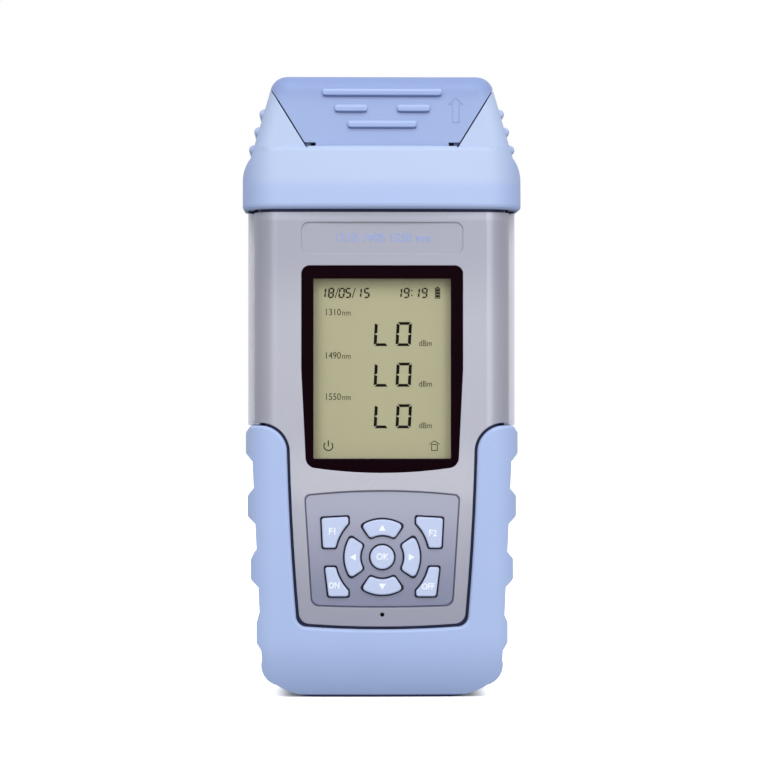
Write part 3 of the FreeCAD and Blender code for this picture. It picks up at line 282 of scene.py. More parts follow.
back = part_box("rear_housing")[1][1] / MM
back_flat = 28.0              # the back is nearly flat within this of its middle
back_sunk = 1.1               # and painted shade darkens its grooves and pockets from this deep
parting_y = -5.0              # the two shells meet here, and the rear one's lip shows beside the front
lip_full = 0.5                # its painted highlight along the rim reaches this deep,
lip_end = 0.9                 # and is gone here
strip_start = 38.85           # outside this the groove over each shoulder is open to the side,
strip_low = 88.45             # so a slice of the flank between these heights
strip_high = 89.28
strip_drop = 0.94             # is carried down by this to close it
merge_near = 0.01 * MM


def rear_grey():
    """The rear shell's grey, a little cooler and duller than the face, with a painted highlight on its
    front lip and painted navy shade in its grooves.
    """
    finish = Finish("grained_grey")
    x, y, z = finish.place()
    cloud = finish.noise(30.0)
    grain = finish.noise(0.5, 3.0)
    deep = back - back_sunk
    sunk_shade = (abs(x).step(back_flat + edge, back_flat - edge) * y.step(deep + edge, deep - edge)
            * z.step(hidden_z, hidden_z - edge))
    colour = finish.mix(cloud, tint(172, 174, 188), tint(180, 181, 194))
    # Painted highlight: the lip beside the front shell lighter, as a rim of reflected light.
    colour = finish.mix(y.step(parting_y + lip_end, parting_y + lip_full), colour, tint(212, 213, 222))
    # Painted shade: navy in the grooves and pockets.
    colour = finish.mix(groove_shade_paint(x, z).larger(sunk_shade), colour, painted_shade_navy)
    return finish.done(Base_Color=colour, Roughness=0.5 + grain * 0.12,
                       Normal=finish.bump(grain, 0.02, 0.35), Specular_IOR_Level=0.45)


def clear_selection():
    """Nothing selected, so that an operator takes only what is made or picked next."""
    bpy.ops.object.select_all(action="DESELECT")


def pick(*pieces):
    """Selects pieces, with the first as the active one."""
    clear_selection()
    for piece in pieces:
        piece.select_set(True)
    bpy.context.view_layer.objects.active = pieces[0]


def joined(name, pieces):
    """Several pieces as one, under a name."""
    pick(*pieces)
    if len(pieces) > 1:
        bpy.ops.object.join()
    whole = bpy.context.object
    whole.name = name
    whole.data.name = name
    return whole


def settled(piece, material, body):
    """Ends a piece: its place goes into its mesh, and it gets its material, body and slot."""
    pick(piece)
    bpy.ops.object.transform_apply(location=True, rotation=True, scale=True)
    piece.data.materials.clear()
    piece.data.materials.append(material)
    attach(piece, body)
    return piece


def sliced(point, normal):
    """Cuts away what lies on the far side of a plane, and closes the cut."""
    bpy.ops.mesh.select_all(action="SELECT")
    bpy.ops.mesh.bisect(plane_co=[part * MM for part in point], plane_no=normal, use_fill=True,
                        clear_outer=True)


def shoulder_strip(source, side):
    """A slice of a shell's flank over the boot's shoulder, moved down to the shoulder."""
    pick(nodes[source])
    bpy.ops.object.duplicate()
    strip = bpy.context.object
    del strip["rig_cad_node"]
    bpy.ops.object.parent_clear(type="CLEAR_KEEP_TRANSFORM")
    bpy.ops.object.mode_set(mode="EDIT")
    bpy.ops.mesh.select_all(action="SELECT")
    bpy.ops.mesh.remove_doubles(threshold=merge_near)
    sliced((0, 0, strip_high), (0, 0, 1))
    sliced((0, 0, strip_low), (0, 0, -1))
    sliced((side * strip_start, 0, 0), (-side, 0, 0))
    bpy.ops.mesh.select_all(action="SELECT")
    bpy.ops.mesh.remove_doubles(threshold=2 * merge_near)
    bpy.ops.mesh.select_all(action="SELECT")
    bpy.ops.mesh.dissolve_limited(angle_limit=0.001)
    bpy.ops.mesh.select_all(action="DESELECT")
    bpy.ops.mesh.select_mode(type="EDGE")
    bpy.ops.mesh.select_non_manifold()
    bpy.ops.mesh.fill_holes(sides=0)
    bpy.ops.mesh.select_mode(type="VERT")
    bpy.ops.mesh.select_all(action="SELECT")
    bpy.ops.transform.translate(value=(0, 0, -strip_drop * MM))
    bpy.ops.object.mode_set(mode="OBJECT")
    return strip


housing_rear = rear_grey()
dress(housing_rear, "rear_housing", "battery_cover")
for name, source, grey in (("shoulder_strips_front", "front_housing", housing_grey),
                           ("shoulder_strips_rear", "rear_housing", housing_rear)):
    strips = [shoulder_strip(source, side) for side in (1, -1)]
    settled(joined(name, strips), grey, "meter")


# ---- Board and what it carries: a green glass-fibre laminate behind the display and the keys, with
# the sealed splitter module and the buzzer that sounds through the small hole under the keypad.

def laminate():
    """Solder mask over a faint weave."""
    finish = Finish("solder_mask")
    weave = finish.noise(0.6, 1.0)
    colour = finish.mix(weave, tint(22, 92, 58), tint(30, 108, 68))
    return finish.done(Base_Color=colour, Roughness=0.35, Normal=finish.bump(weave, 0.01))


def moulded_black():
    """Black moulded plastic of the inner pieces."""
    finish = Finish("moulded_black")
    grain = finish.noise(0.4)
    colour = finish.mix(grain, tint(24, 24, 26), tint(34, 34, 36))
    return finish.done(Base_Color=colour, Roughness=0.55, Normal=finish.bump(grain, 0.01, 0.2))


dress(laminate(), "main_board")
dress(moulded_black(), "buzzer", "splitter_module", "display_carrier")


# ---- Display: a reflective liquid crystal panel in its frame, with a diffuser behind it, and the
# clear window in front whose back is printed black round the opening.

opening_side = 3.8            # the black border's width at the sides, above and below
opening_above = 4.1
opening_below = 4.3
window_low, window_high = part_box("display_window")
shade_inside = 5.0            # the frame's painted shadow reaches this far in from the panel's left edge,
shade_under = 8.0             # and this far down from its top


def display_green():
    """The grey-green of an unlit panel, with its faint mottle and a painted shadow of the frame along
    its left and top edges.
    """
    finish = Finish("display_green")
    x, y, z = finish.place()
    cloud = finish.noise(18.0)
    dots = finish.noise(0.3, 1.0)
    colour = finish.mix(cloud, tint(188, 184, 149), tint(183, 180, 146))
    colour = finish.mix(dots * 0.12, colour, tint(150, 148, 118))
    left = window_low[0] / MM + opening_side
    top = window_high[2] / MM - opening_above
    # Painted shadow of the window's frame on the sunk panel.
    shade = x.step(left + shade_inside, left - 1.0).larger(z.step(top - shade_under, top + 1.0))
    colour = finish.mix(shade * 0.45, colour, tint(140, 136, 108))
    return finish.done(Base_Color=colour, Roughness=0.5 + dots * 0.1, Specular_IOR_Level=0.3)


def window_clear():
    """Clear where the display shows, and black printed round it."""
    finish = Finish("printed_window")
    x, y, z = finish.place()
    side = window_high[0] / MM - opening_side
    top = window_high[2] / MM - opening_above
    foot = window_low[2] / MM + opening_below
    middle = (top + foot) / 2
    half = (top - foot) / 2
    clear = abs(x).step(side + edge, side - edge) * abs(z - middle).step(half + edge, half - edge)
    dust = finish.noise(0.8)
    colour = finish.mix(dust, tint(16, 3, 8), tint(19, 4, 10))
    return finish.done(Base_Color=colour, Roughness=0.12 + dust * 0.05, Alpha=1 - clear * 0.96,
                       Specular_IOR_Level=0.01)


def diffuser():
    """Milky light guide behind the panel."""
    finish = Finish("milky_diffuser")
    cloud = finish.noise(9.0)
    colour = finish.mix(cloud, tint(226, 228, 222), tint(236, 236, 230))
    return finish.done(Base_Color=colour, Roughness=0.4)


dress(display_green(), "display_panel")
dress(window_clear(), "display_window")
dress(diffuser(), "display_backlight")


# ---- Readout: the dark segments of the liquid crystal, and the small printed units beside them. They
# lie on the panel's front.

def thickened(piece, depth):
    """A flat piece that lies in the XZ plane, pushed towards the front by a depth."""
    pick(piece)
    bpy.ops.object.mode_set(mode="EDIT")
    bpy.ops.mesh.select_all(action="SELECT")
    bpy.ops.mesh.extrude_region_move(TRANSFORM_OT_translate={"value": (0, -depth, 0)})
    bpy.ops.mesh.select_all(action="SELECT")
    bpy.ops.mesh.normals_make_consistent(inside=False)
    bpy.ops.object.mode_set(mode="OBJECT")
    return piece


def open_where(piece, test):
    """Opens a piece in edit mode, with the vertices selected whose place passes a test."""
    pick(piece)
    bpy.ops.object.mode_set(mode="EDIT")
    bpy.ops.mesh.select_mode(type="VERT")
    bpy.ops.mesh.select_all(action="DESELECT")
    bpy.ops.object.mode_set(mode="OBJECT")
    for vertex in piece.data.vertices:
        vertex.select = test(vertex.co)
    bpy.ops.object.mode_set(mode="EDIT")


ink_depth = 0.03 * MM
capital_share = 0.7           # a capital's height as a share of the font's size
upright_face = (math.radians(90), 0, 0)


def segment(length, stroke, mitre=0.0):
    """A lying bar about the origin whose upper edge is the longer one by a mitre at each end."""
    clear_selection()
    bpy.ops.mesh.primitive_plane_add(size=MM, rotation=upright_face)
    piece = bpy.context.object
    piece.scale = (length, stroke, 1)
    bpy.ops.object.transform_apply(location=True, rotation=True, scale=True)
    open_where(piece, lambda place: place.z < 0)
    bpy.ops.transform.resize(value=(1 - 2 * mitre / length, 1, 1))
    bpy.ops.object.mode_set(mode="OBJECT")
    return thickened(piece, ink_depth)


def copied(model, x, z, turn=0.0, size=(1, 1, 1)):
    """A copy of a model with its own mesh, turned in the plane of the face and put at its place."""
    pick(model)
    bpy.ops.object.duplicate()
    copy = bpy.context.object
    copy.location = (x * MM, 0, z * MM)
    copy.rotation_euler = (0, math.radians(turn), 0)
    copy.scale = size
    return copy


def put_away(*models):
    """Removes models once their copies are made."""
    for model in models:
        bpy.data.objects.remove(model)


# Each segment: its place across and up, from -1 to 1, and its turn.
segment_places = {"a": (0, 1, 0), "b": (1, 0.5, 90), "c": (1, -0.5, 90), "d": (0, -1, 180),
                  "e": (-1, -0.5, -90), "f": (-1, 0.5, -90), "g": (0, 0, 0)}
lit = {"0": "abcdef", "1": "bc", "5": "acdfg", "8": "abcdefg", "9": "abcdfg", "L": "def",
       "O": "abcdef"}
ink_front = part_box("display_panel")[0][1]


def digit(character, x, z, width, height, stroke, lean, lying, upright):
    """The lit segments of one seven-segment digit that leans to the right, about x and z."""
    made = []
    for name in lit[character]:
        across, up, turn = segment_places[name]
        rise = up * (height - stroke) / 2
        along = across * (width - stroke) / 2 + rise * math.tan(math.radians(lean))
        if abs(turn) == 90:
            made.append(copied(upright, x + along, z + rise, turn + lean))
        else:
            made.append(copied(lying, x + along, z + rise, turn))
    return made


def lettering(text, x, z, height, width=1.0, weight=0.0, align="LEFT"):
    """Printed characters that face the front: x is their start and z their middle."""
    clear_selection()
    bpy.ops.object.text_add(rotation=upright_face)
    words = bpy.context.object
    words.data.body = text
    words.data.align_x = align
    words.data.align_y = "CENTER"
    words.data.size = height * MM / capital_share
    words.data.extrude = ink_depth
    words.data.bevel_depth = weight * MM
    words.data.bevel_resolution = 0
    words.data.resolution_u = 4
    bpy.ops.object.convert(target="MESH")
    solid = bpy.context.object
    solid.location = (x * MM, 0, z * MM)
    solid.scale = (width, 1, 1)
    return solid


def placed_ink(name, pieces, front, material, body):
    """Marks joined and brought to the face that they are printed on."""
    whole = joined(name, pieces)
    whole.location.y = front
    return settled(whole, material, body)


def crystal(name, dark, pale):
    """Switched crystal, a little uneven."""
    finish = Finish(name)
    cloud = finish.noise(1.5)
    return finish.done(Base_Color=finish.mix(cloud, tint(*dark), tint(*pale)), Roughness=0.6,
                       Specular_IOR_Level=0.1)


row_heights = (116.9, 103.8, 90.4)
label_heights = (123.85, 109.9, 96.6)
digit_height = 7.8
digit_stroke = 0.95
digit_lean = 3
lying = segment(4.15, 0.9, 0.7)
upright = segment(3.45, 1.0, 0.4)
reading = []
for row in row_heights:
    for letter, x, width in (("L", -0.1, 4.8), ("O", 7.0, 4.9)):
        reading += digit(letter, x, row, width, digit_height, digit_stroke, digit_lean, lying, upright)
put_away(lying, upright)
placed_ink("readout_digits", reading, ink_front, crystal("crystal_black", (10, 8, 4), (20, 17, 10)),
           "meter")

clock_z = 130.15
clock_width = 1.85
clock_height = 3.3
clock_stroke = 0.44
clock_lean = 6
slash_turn = -72
lying = segment(1.35, 0.48, 0.26)
upright = segment(1.45, 0.52, 0.26)
plain_bar = segment(1.0, 1.0)
clock = []
for character, x in (("1", -19.0), ("8", -16.4), ("0", -13.0), ("5", -10.9), ("1", -7.5), ("5", -4.9),
                     ("1", 5.5), ("9", 7.9), ("1", 11.2), ("9", 13.7)):
    clock += digit(character, x, clock_z, clock_width, clock_height, clock_stroke, clock_lean,
                   lying, upright)
clock += [copied(plain_bar, x, clock_z, slash_turn, (3.4, 1, 0.28)) for x in (-14.6, -9.1)]
clock += [copied(plain_bar, 9.6, clock_z + up, 0, (0.45, 1, 0.42)) for up in (0.75, -0.75)]
put_away(lying, upright)


def frame_bars(x, z, width, height, stroke):
    """Four bars round an empty rectangle."""
    made = [copied(plain_bar, x, z + up, 0, (width + stroke, 1, stroke))
            for up in (height / 2, -height / 2)]
    return made + [copied(plain_bar, x + side, z, 0, (stroke, 1, height - stroke))
                   for side in (width / 2, -width / 2)]


battery_x = 17.9
clock += frame_bars(battery_x, clock_z - 0.1, 1.4, 3.2, 0.24)
clock.append(copied(plain_bar, battery_x, clock_z + 1.75, 0, (0.7, 1, 0.4)))
clock += [copied(plain_bar, battery_x, clock_z + level, 0, (1.05, 1, 0.78))
          for level in (-1.05, -0.1, 0.85)]
marks = []
for row, wavelength in zip(label_heights, ("1310", "1490", "1550")):
    marks.append(lettering(wavelength, -18.6, row, 2.15, 0.88))
    marks.append(lettering("nm", -12.95, row - 0.15, 1.9, 0.86))
for row in row_heights:
    marks.append(lettering("dBm", 11.8, row - 3.05, 1.9, 0.88))


def power_sign(x, z, radius, stroke):
    """A ring open at its top, with a short bar in the gap."""
    clear_selection()
    bpy.ops.mesh.primitive_circle_add(vertices=32, radius=radius * MM, fill_type="NGON",
                                      rotation=upright_face)
    ring = bpy.context.object
    bpy.ops.object.transform_apply(location=True, rotation=True, scale=True)
    bpy.ops.object.mode_set(mode="EDIT")
    bpy.ops.mesh.select_all(action="SELECT")
    bpy.ops.mesh.inset(thickness=stroke * MM)
    bpy.ops.mesh.delete(type="FACE")
    bpy.ops.object.mode_set(mode="OBJECT")
    open_where(ring, lambda place: place.z > abs(place.x) * 1.4)
    bpy.ops.mesh.delete(type="VERT")
    bpy.ops.object.mode_set(mode="OBJECT")
    thickened(ring, ink_depth).location = (x * MM, 0, z * MM)
    return [ring, copied(plain_bar, x, z + radius * 0.55, 90, (radius * 1.2, 1, stroke))]


def home_sign(x, z, size, stroke):
    """A small house: a box under a roof of two slanted bars."""
    made = frame_bars(x, z - size * 0.18, size * 0.58, size * 0.6, stroke)
    return made + [copied(plain_bar, x + side * size * 0.25, z + size * 0.32, 34 * side,
                          (size * 0.66, 1, stroke)) for side in (-1, 1)]


clock += power_sign(-17.3, 80.8, 1.62, 0.36)
marks += home_sign(16.9, 80.9, 3.2, 0.24)
put_away(plain_bar)
placed_ink("readout_clock", clock, ink_front, crystal("crystal_grey", (34, 30, 18), (44, 40, 26)),
           "meter")
placed_ink("readout_units", marks, ink_front, crystal("crystal_pale", (54, 50, 32), (62, 58, 40)),
           "meter")


# ---- Keys: nine moulded caps in pale blue, satin on top, with their legends printed in white. Under
# them lies one silicone mat with a dome for each.

flange_start = 0.3            # the keys are blue down to here, and painted navy shade from here to their flanges
legend_weight = 0.09
arrow_radius = 1.3


def key_blue():
    """Pale blue moulded plastic with the soft look of a slightly clear resin, painted navy shade low on
    its sides.
    """
    finish = Finish("key_blue")
    x, y, z = finish.place()
    cloud = finish.noise(6.0)
    colour = finish.mix(cloud, tint(186, 198, 230), tint(191, 202, 233))
    # Painted shade on the key's sides near the field.
    flange_shade = y.step(face + flange_start - edge, face + flange_start + edge)
    colour = finish.mix(flange_shade, colour, painted_shade_navy)
    grain = finish.noise(0.3)
    return finish.done(Base_Color=colour, Roughness=0.3 + grain * 0.08,
                       Normal=finish.bump(grain, 0.004, 0.3), Specular_IOR_Level=0.5)


def silicone():
    """Silicone rubber of the key mat, dark navy, which stands in for the shade in the gaps round the
    keys.
    """
    finish = Finish("mat_silicone")
    grain = finish.noise(0.5)
    return finish.done(Base_Color=finish.mix(grain, tint(34, 37, 56), tint(42, 45, 64)), Roughness=0.6)


def print_white():
    """White legend ink."""
    finish = Finish("legend_white")
    cloud = finish.noise(1.0)
    colour = finish.mix(cloud, tint(242, 249, 255), tint(234, 243, 254))
    return finish.done(Base_Color=colour, Roughness=0.45)


dress(key_blue(), "key_ok", "key_right", "key_up", "key_left", "key_down", "key_f1", "key_f2",
      "key_on", "key_off")
dress(silicone(), "key_mat")
legend_ink = print_white()


def key_middle(name):
    """The middle of a key's box in the front view, in millimetres."""
    low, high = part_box(name)
    return (low[0] + high[0]) / 2 / MM, (low[2] + high[2]) / 2 / MM


# Each legend: its text, its height, how wide it is drawn, and its place off the key's middle.
legends = {"key_ok": ("OK", 2.05, 0.92, 0.0, 0.0), "key_f1": ("F1", 2.1, 0.92, -0.75, 0.2),
           "key_f2": ("F2", 2.1, 0.92, 1.05, -0.4), "key_on": ("ON", 1.95, 0.82, -0.85, -1.3),
           "key_off": ("OFF", 1.95, 0.82, 0.1, -1.65)}
for name, (text, height, width, right, up) in legends.items():
    x, z = key_middle(name)
    words = lettering(text, x + right, z + up, height, width, legend_weight, "CENTER")
    placed_ink("legend_" + name[4:], [words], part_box(name)[0][1], legend_ink, name + "_body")
clear_selection()
bpy.ops.mesh.primitive_circle_add(vertices=3, radius=arrow_radius * MM, fill_type="NGON",
                                  rotation=upright_face)
arrow_head = bpy.context.object
bpy.ops.object.transform_apply(location=True, rotation=True, scale=True)
thickened(arrow_head, ink_depth)
for name, turn in (("key_up", 0), ("key_right", 90), ("key_down", 180), ("key_left", 270)):
    x, z = key_middle(name)
    placed_ink("legend_" + name[4:], [copied(arrow_head, x, z, turn)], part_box(name)[0][1],
               legend_ink, name + "_body")
put_away(arrow_head)


# ---- Battery: three sealed cells with a plain printed sleeve, between stamped and plated contacts.

band_foot = 34.0              # the sleeve's dark band, above the cell's end
band_top = 46.0


def cell_sleeve():
    """Shrunk plastic sleeve: pale with a dark band, over the bare metal of the ends."""
    finish = Finish("cell_sleeve")
    x, y, z = finish.place()
    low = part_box("battery_cell_1")[0][2] / MM
    band = (z.step(low + band_foot - 0.1, low + band_foot + 0.1)
            * z.step(low + band_top + 0.1, low + band_top - 0.1))
    cloud = finish.noise(5.0)
    colour = finish.mix(cloud, tint(212, 214, 218), tint(222, 224, 228))
    return finish.done(Base_Color=finish.mix(band, colour, tint(52, 66, 110)), Roughness=0.28)


def bright_metal(name, colour, roughness):
    """Bare or plated metal with a fine brushed unevenness."""
    finish = Finish(name)
    brushed = finish.noise(0.5, 3.0)
    darker = [part - 14 for part in colour]
    return finish.done(Base_Color=finish.mix(brushed, tint(*colour), tint(*darker)), Metallic=1.0,
                       Roughness=roughness + brushed * 0.1, Normal=finish.bump(brushed, 0.004, 0.1))


steel = bright_metal("plain_steel", (196, 197, 200), 0.26)
dress(cell_sleeve(), "battery_cell_1", "battery_cell_2", "battery_cell_3")
dress(steel, "battery_contacts_low", "battery_contacts_high", "board_screws", "housing_screws")


# ---- Lower boot and top cap: soft overmould rubber in sky blue, dull and slightly grippy. The port
# cover is moulded from the same rubber and swings on a steel pin held by the cap's ears.

split_middle = 24.22          # the joint between cover and cap starts here and leans outwards
split_foot_z = 176.9
split_top_z = 193.3
split_lean = 0.617
split_half = 0.26             # half the width of its painted shade line
joint_depth = -15.4           # and how far back the line goes
notch_start = 21.3            # the painted shade in the notch at each end of the cover's foot
notch_end = 24.9
notch_middle = 177.5
notch_half = 1.0
cover_face_foot = -17.4       # the cover's face leans back from here
cover_face_z = 167.0
cover_rise = 1.4 / 33.0
brow_z = 165.0                # the collar's face bends here, and is painted darker below
sole_height = 0.8             # painted contact shadow darkens the boot's lowest edge up to here
finger_bars = ((0.0, 194.7, 19.2), (10.05, 189.55, 5.25), (0.0, 184.4, 11.1))  # x, z, half length
bar_half = 1.25               # half the height of a bar
bar_shade = 0.45              # half the height of the painted shadow along its foot


def joint_shade_paint(x, y, z):
    """1 where painted shade darkens the joint between cover and cap and the notch at each end of its
    foot.
    """
    aside = abs(abs(x) - split_middle - (z - split_foot_z) * split_lean)
    behind = y - cover_face_foot - (z - cover_face_z) * cover_rise
    line = aside.step(split_half + 0.04, split_half - 0.04) * z.step(split_foot_z - 0.3, split_foot_z)
    line = line * z.step(split_top_z, split_top_z - 0.6)
    notch = (abs(x).step(notch_start, notch_start + 0.1) * abs(x).step(notch_end, notch_end - 0.1)
             * abs(z - notch_middle).step(notch_half, notch_half - 0.1) * behind.step(0.15, 0.25))
    return line.larger(notch) * y.step(joint_depth, joint_depth - 0.5)


def rubber(name, pale, deep, sheen, painted_light_and_shade):
    """Blue rubber with a very fine grain and a faint bloom. The last argument adds painted light and
    shade by place.
    """
    finish = Finish(name)
    x, y, z = finish.place()
    cloud = finish.noise(22.0)
    grain = finish.noise(0.28, 3.0)
    colour = finish.mix(cloud, tint(*deep), tint(*pale))
    colour = finish.mix(grain.step(0.4, 0.8) * 0.2, colour, tint(*[part - 12 for part in deep]))
    colour = painted_light_and_shade(finish, colour, x, y, z)
    return finish.done(Base_Color=colour, Roughness=0.46 + grain * 0.1,
                       Normal=finish.bump(grain, 0.012, 0.3), Specular_IOR_Level=0.42,
                       Sheen_Weight=sheen, Sheen_Roughness=0.4)


def boot_sole_shadow(finish, colour, x, y, z):
    """Painted contact shadow along the sole's lowest edge."""
    return finish.mix(z.step(sole_height + 0.3, sole_height - 0.3), colour, painted_shade_navy)


def cap_painted_shade(finish, colour, x, y, z):
    """Painted shade: deeper below the collar's brow and towards its sides, and navy in the joint."""
    colour = finish.mix(z.step(brow_z + 2.5, brow_z - 2.0), colour, tint(165, 183, 222))
    colour = finish.mix(abs(x).step(34.0, 45.0) * 0.7, colour, tint(152, 171, 216))
    return finish.mix(joint_shade_paint(x, y, z), colour, painted_shade_navy)


def cover_light_and_shade(finish, colour, x, y, z):
    """Painted light and shade: deeper at its rounded top, a painted highlight over each finger bar and
    a painted shadow under it, navy in the joint.
    """
    colour = finish.mix(z.step(189.0, 198.0) * 0.8, colour, tint(130, 149, 200))
    for bar_x, bar_z, half in finger_bars:
        along = abs(abs(x) - bar_x).step(half + 0.2, half - 0.6)
        under = along * abs(z - bar_z + bar_half).step(bar_shade, 0.5 * bar_shade)
        over = along * abs(z - bar_z - 0.5 * bar_half).step(0.5 * bar_half, 0.0)
        # Painted highlight on the bar's upper half, and painted shadow along its foot.
        colour = finish.mix(over * 0.7, colour, tint(176, 194, 232))
        colour = finish.mix(under * 0.9, colour, tint(96, 114, 172))
    return finish.mix(joint_shade_paint(x, y, z), colour, painted_shade_navy)


# One rubber in three shades: the cap's paler base colour is painted light, and the cover's deeper one
# is painted shade.
boot_rubber = rubber("boot_blue", (169, 188, 229), (163, 183, 225), 0.2, boot_sole_shadow)
cap_rubber_lit = rubber("cap_blue_lit", (179, 195, 226), (174, 191, 223), 0.05, cap_painted_shade)
cover_rubber_shaded = rubber("cover_blue_shaded", (151, 170, 213), (146, 165, 209), 0.05, cover_light_and_shade)
dress(boot_rubber, "lower_boot")
dress(cap_rubber_lit, "top_cap")
dress(cover_rubber_shaded, "port_cover")
dress(steel, "cover_hinge_pin")


# ---- Opening mark: a thin raised arrow on the cover's face, near its right corner, that shows which
# way to lift it.

arrow_x = 23.7                # its middle line, and its heights
arrow_foot = 184.9
arrow_shoulder = 190.8
arrow_tip = 193.1
arrow_half = 2.55             # half the width of its head and of its shaft
shaft_half = 1.2
ridge_width = 0.32
ridge_height = 0.1            # over the face, and its root in the face
ridge_sink = 0.05


def opening_arrow():
    """The arrow's outline as a low ridge that lies on the leaning face."""
    clear_selection()
    bpy.ops.mesh.primitive_grid_add(x_subdivisions=3, y_subdivisions=2, size=2 * MM,
                                    rotation=upright_face)
    piece = bpy.context.object
    bpy.ops.object.transform_apply(location=True, rotation=True, scale=True)
    for low, high, reach in ((0.9, 1.1, arrow_half), (0.2, 0.5, 3 * shaft_half)):
        open_where(piece, lambda place: low < abs(place.x / MM) < high)
        bpy.ops.transform.resize(value=(reach, 1, 1))
        bpy.ops.object.mode_set(mode="OBJECT")
    for row, height in ((-1, arrow_foot), (0, arrow_shoulder), (1, arrow_tip)):
        open_where(piece, lambda place: abs(place.z / MM - row) < 0.1)
        bpy.ops.transform.translate(value=(0, 0, (height - row) * MM))
        bpy.ops.object.mode_set(mode="OBJECT")
    middle_z = (arrow_foot + arrow_shoulder) / 2 * MM
    open_where(piece, lambda place: place.z < middle_z and abs(place.x) > (shaft_half + 0.1) * MM)
    bpy.ops.mesh.delete(type="VERT")
    bpy.ops.object.mode_set(mode="OBJECT")
    open_where(piece, lambda place: place.z > (arrow_tip - 0.1) * MM)
    bpy.ops.mesh.merge(type="CENTER")
    bpy.ops.mesh.select_all(action="SELECT")
    bpy.ops.mesh.dissolve_faces()
    bpy.ops.mesh.select_all(action="SELECT")
    bpy.ops.mesh.inset(thickness=ridge_width * MM)
    bpy.ops.mesh.delete(type="FACE")
    bpy.ops.object.mode_set(mode="OBJECT")
    thickened(piece, (ridge_height + ridge_sink) * MM)
    piece.name = "opening_arrow"
    foot = Matrix.Translation(Vector((0, 0, -cover_face_z)) * MM)
    lean = Matrix.Rotation(-math.atan(cover_rise), 4, "X")
    place = Matrix.Translation(Vector((arrow_x, cover_face_foot + ridge_sink, cover_face_z)) * MM)
    piece.matrix_world = place @ lean @ foot
    return settled(piece, cover_rubber_shaded, "cover")


opening_arrow()


# ---- Optical ports: turned and plated bodies with a white ceramic sleeve each, held by two small
# screws. They stand in the bay under the cover.

def sleeve_white():
    """Fine ceramic, smooth and faintly warm."""
    finish = Finish("sleeve_ceramic")
    cloud = finish.noise(1.2)
    colour = finish.mix(cloud, tint(240, 238, 230), tint(246, 245, 240))
    return finish.done(Base_Color=colour, Roughness=0.2)


dress(bright_metal("plated_port", (206, 206, 204), 0.2), "optical_port_left", "optical_port_right",
      "light_detector_left", "light_detector_right")
dress(sleeve_white(), "port_sleeve_left", "port_sleeve_right")
dress(steel, "port_screws")


# ---- Name field: the sunk field over the display holds plain wavelength numbers.

label_z = 147.7               # the field's middle
label_floor = -16.7 * MM
label_height = 2.7
label_weight = 0.06


def print_blue():
    """Blue print on the grey."""
    finish = Finish("label_blue")
    cloud = finish.noise(1.0)
    colour = finish.mix(cloud, tint(142, 160, 210), tint(150, 168, 218))
    return finish.done(Base_Color=colour, Roughness=0.5)


numbers = lettering("1310 1490 1550 nm", 0, label_z, label_height, 1.0, label_weight, "CENTER")
placed_ink("field_numbers", [numbers], label_floor, print_blue(), "meter")


# ---- Floor, lights and camera: a plain pale floor, and four soft boxes: a tall one at each side, one
# above and one in front, with even light from all round.

footprint_half_width = 30.0   # the floor is dark out to here round the foot,
footprint_half_depth = 13.0
shadow_width = 8.0            # and fades to white over this


def paper():
    """Matt white paper. The camera sees it white but for the shadow that lies close round the foot."""
    finish = Finish("white_paper")
    x, y, z = finish.place()
    fibre = finish.noise(2.0)
    beside = (abs(x) - footprint_half_width).larger(abs(y) - footprint_half_depth)
    glow = finish.mix(beside.step(-2.0, shadow_width), (0.05, 0.05, 0.05, 1), (0.92, 0.92, 0.92, 1))
    grey = finish.mix(fibre, (0.4, 0.4, 0.4, 1), (0.42, 0.42, 0.42, 1))
    bounce = finish.node("ShaderNodeBsdfDiffuse", None, grey)
    white = finish.node("ShaderNodeBsdfDiffuse", None, (1, 1, 1, 1))
    light = finish.node("ShaderNodeEmission", None, glow, 1.0)
    seen = finish.node("ShaderNodeAddShader", None, white, light)
    camera = finish.node("ShaderNodeLightPath", take="Is Camera Ray")
    share = finish.node("ShaderNodeMixShader", None, camera, bounce, seen)
    output = finish.tree.nodes.new("ShaderNodeOutputMaterial")
    finish.tree.links.new(share.socket, output.inputs["Surface"])
    return finish.material


clear_selection()
bpy.ops.mesh.primitive_plane_add(size=6.0)
floor = bpy.context.object
floor.name = "floor"
floor.data.materials.append(paper())

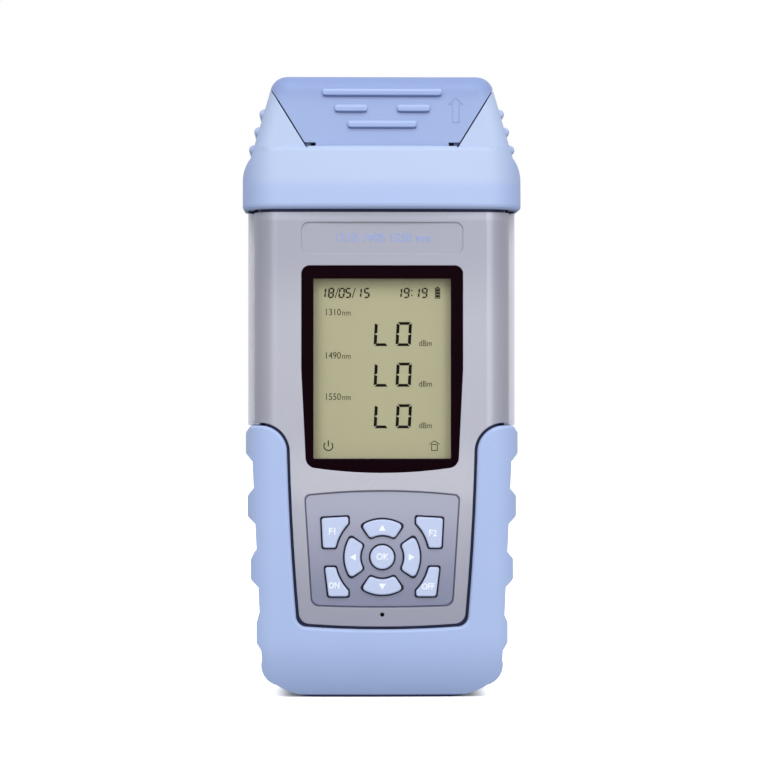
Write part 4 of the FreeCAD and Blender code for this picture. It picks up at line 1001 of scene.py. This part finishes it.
room_light = 0.72             # from all round, on the object
backdrop_light = 1.0          # as the camera and reflections see it
world = bpy.data.worlds.new("studio")
bpy.context.scene.world = world
world.use_nodes = True
world_nodes = world.node_tree.nodes
world_links = world.node_tree.links
world_nodes.clear()
room = world_nodes.new("ShaderNodeBackground")
room.inputs["Color"].default_value = (1, 1, 1, 1)
room.inputs["Strength"].default_value = room_light
backdrop = world_nodes.new("ShaderNodeBackground")
backdrop.inputs["Color"].default_value = (1, 1, 1, 1)
backdrop.inputs["Strength"].default_value = backdrop_light
rays = world_nodes.new("ShaderNodeLightPath")
choice = world_nodes.new("ShaderNodeMixShader")
sky = world_nodes.new("ShaderNodeOutputWorld")
direct = rays.outputs["Is Camera Ray"]
for seen_by in ("Is Glossy Ray", "Is Transmission Ray"):
    either = world_nodes.new("ShaderNodeMath")
    either.operation = "MAXIMUM"
    world_links.new(direct, either.inputs[0])
    world_links.new(rays.outputs[seen_by], either.inputs[1])
    direct = either.outputs[0]
world_links.new(direct, choice.inputs[0])
world_links.new(room.outputs[0], choice.inputs[1])
world_links.new(backdrop.outputs[0], choice.inputs[2])
world_links.new(choice.outputs[0], sky.inputs["Surface"])


def soft_box(name, place, aim, width, height, power):
    """A rectangular lamp at a place, turned towards a point."""
    lamp = bpy.data.lights.new(name, "AREA")
    lamp.shape = "RECTANGLE"
    lamp.size = width
    lamp.size_y = height
    lamp.energy = power
    holder = bpy.data.objects.new(name, lamp)
    bpy.context.scene.collection.objects.link(holder)
    holder.location = place
    holder.rotation_euler = (Vector(aim) - Vector(place)).to_track_quat("-Z", "Y").to_euler()


middle = (0, 0, 0.1)
soft_box("left_box", (-0.62, -0.95, 0.30), middle, 0.3, 0.9, 1.9)
soft_box("right_box", (0.62, -0.95, 0.30), middle, 0.3, 0.9, 3.3)
soft_box("upper_box", (0, -0.6, 0.75), middle, 0.6, 0.3, 2.6)
soft_box("front_box", (0, -1.3, 0.2), middle, 0.8, 0.5, 1.2)

camera_data = bpy.data.cameras.new("camera")
camera = bpy.data.objects.new("camera", camera_data)
bpy.context.scene.collection.objects.link(camera)
camera_place = Vector((-0.0184, -1.0, 0.1008))
camera_aim = Vector((0.0009, 0, 0.1008))
view_width = 0.25098          # what the camera takes in at the middle of the object, in metres
camera.location = camera_place
camera_data.sensor_width = 36.0
camera_data.lens = camera_data.sensor_width / view_width
camera.rotation_euler = (camera_aim - camera_place).to_track_quat("-Z", "Y").to_euler()
bpy.context.scene.camera = camera
bpy.context.scene.view_settings.view_transform = "Standard"
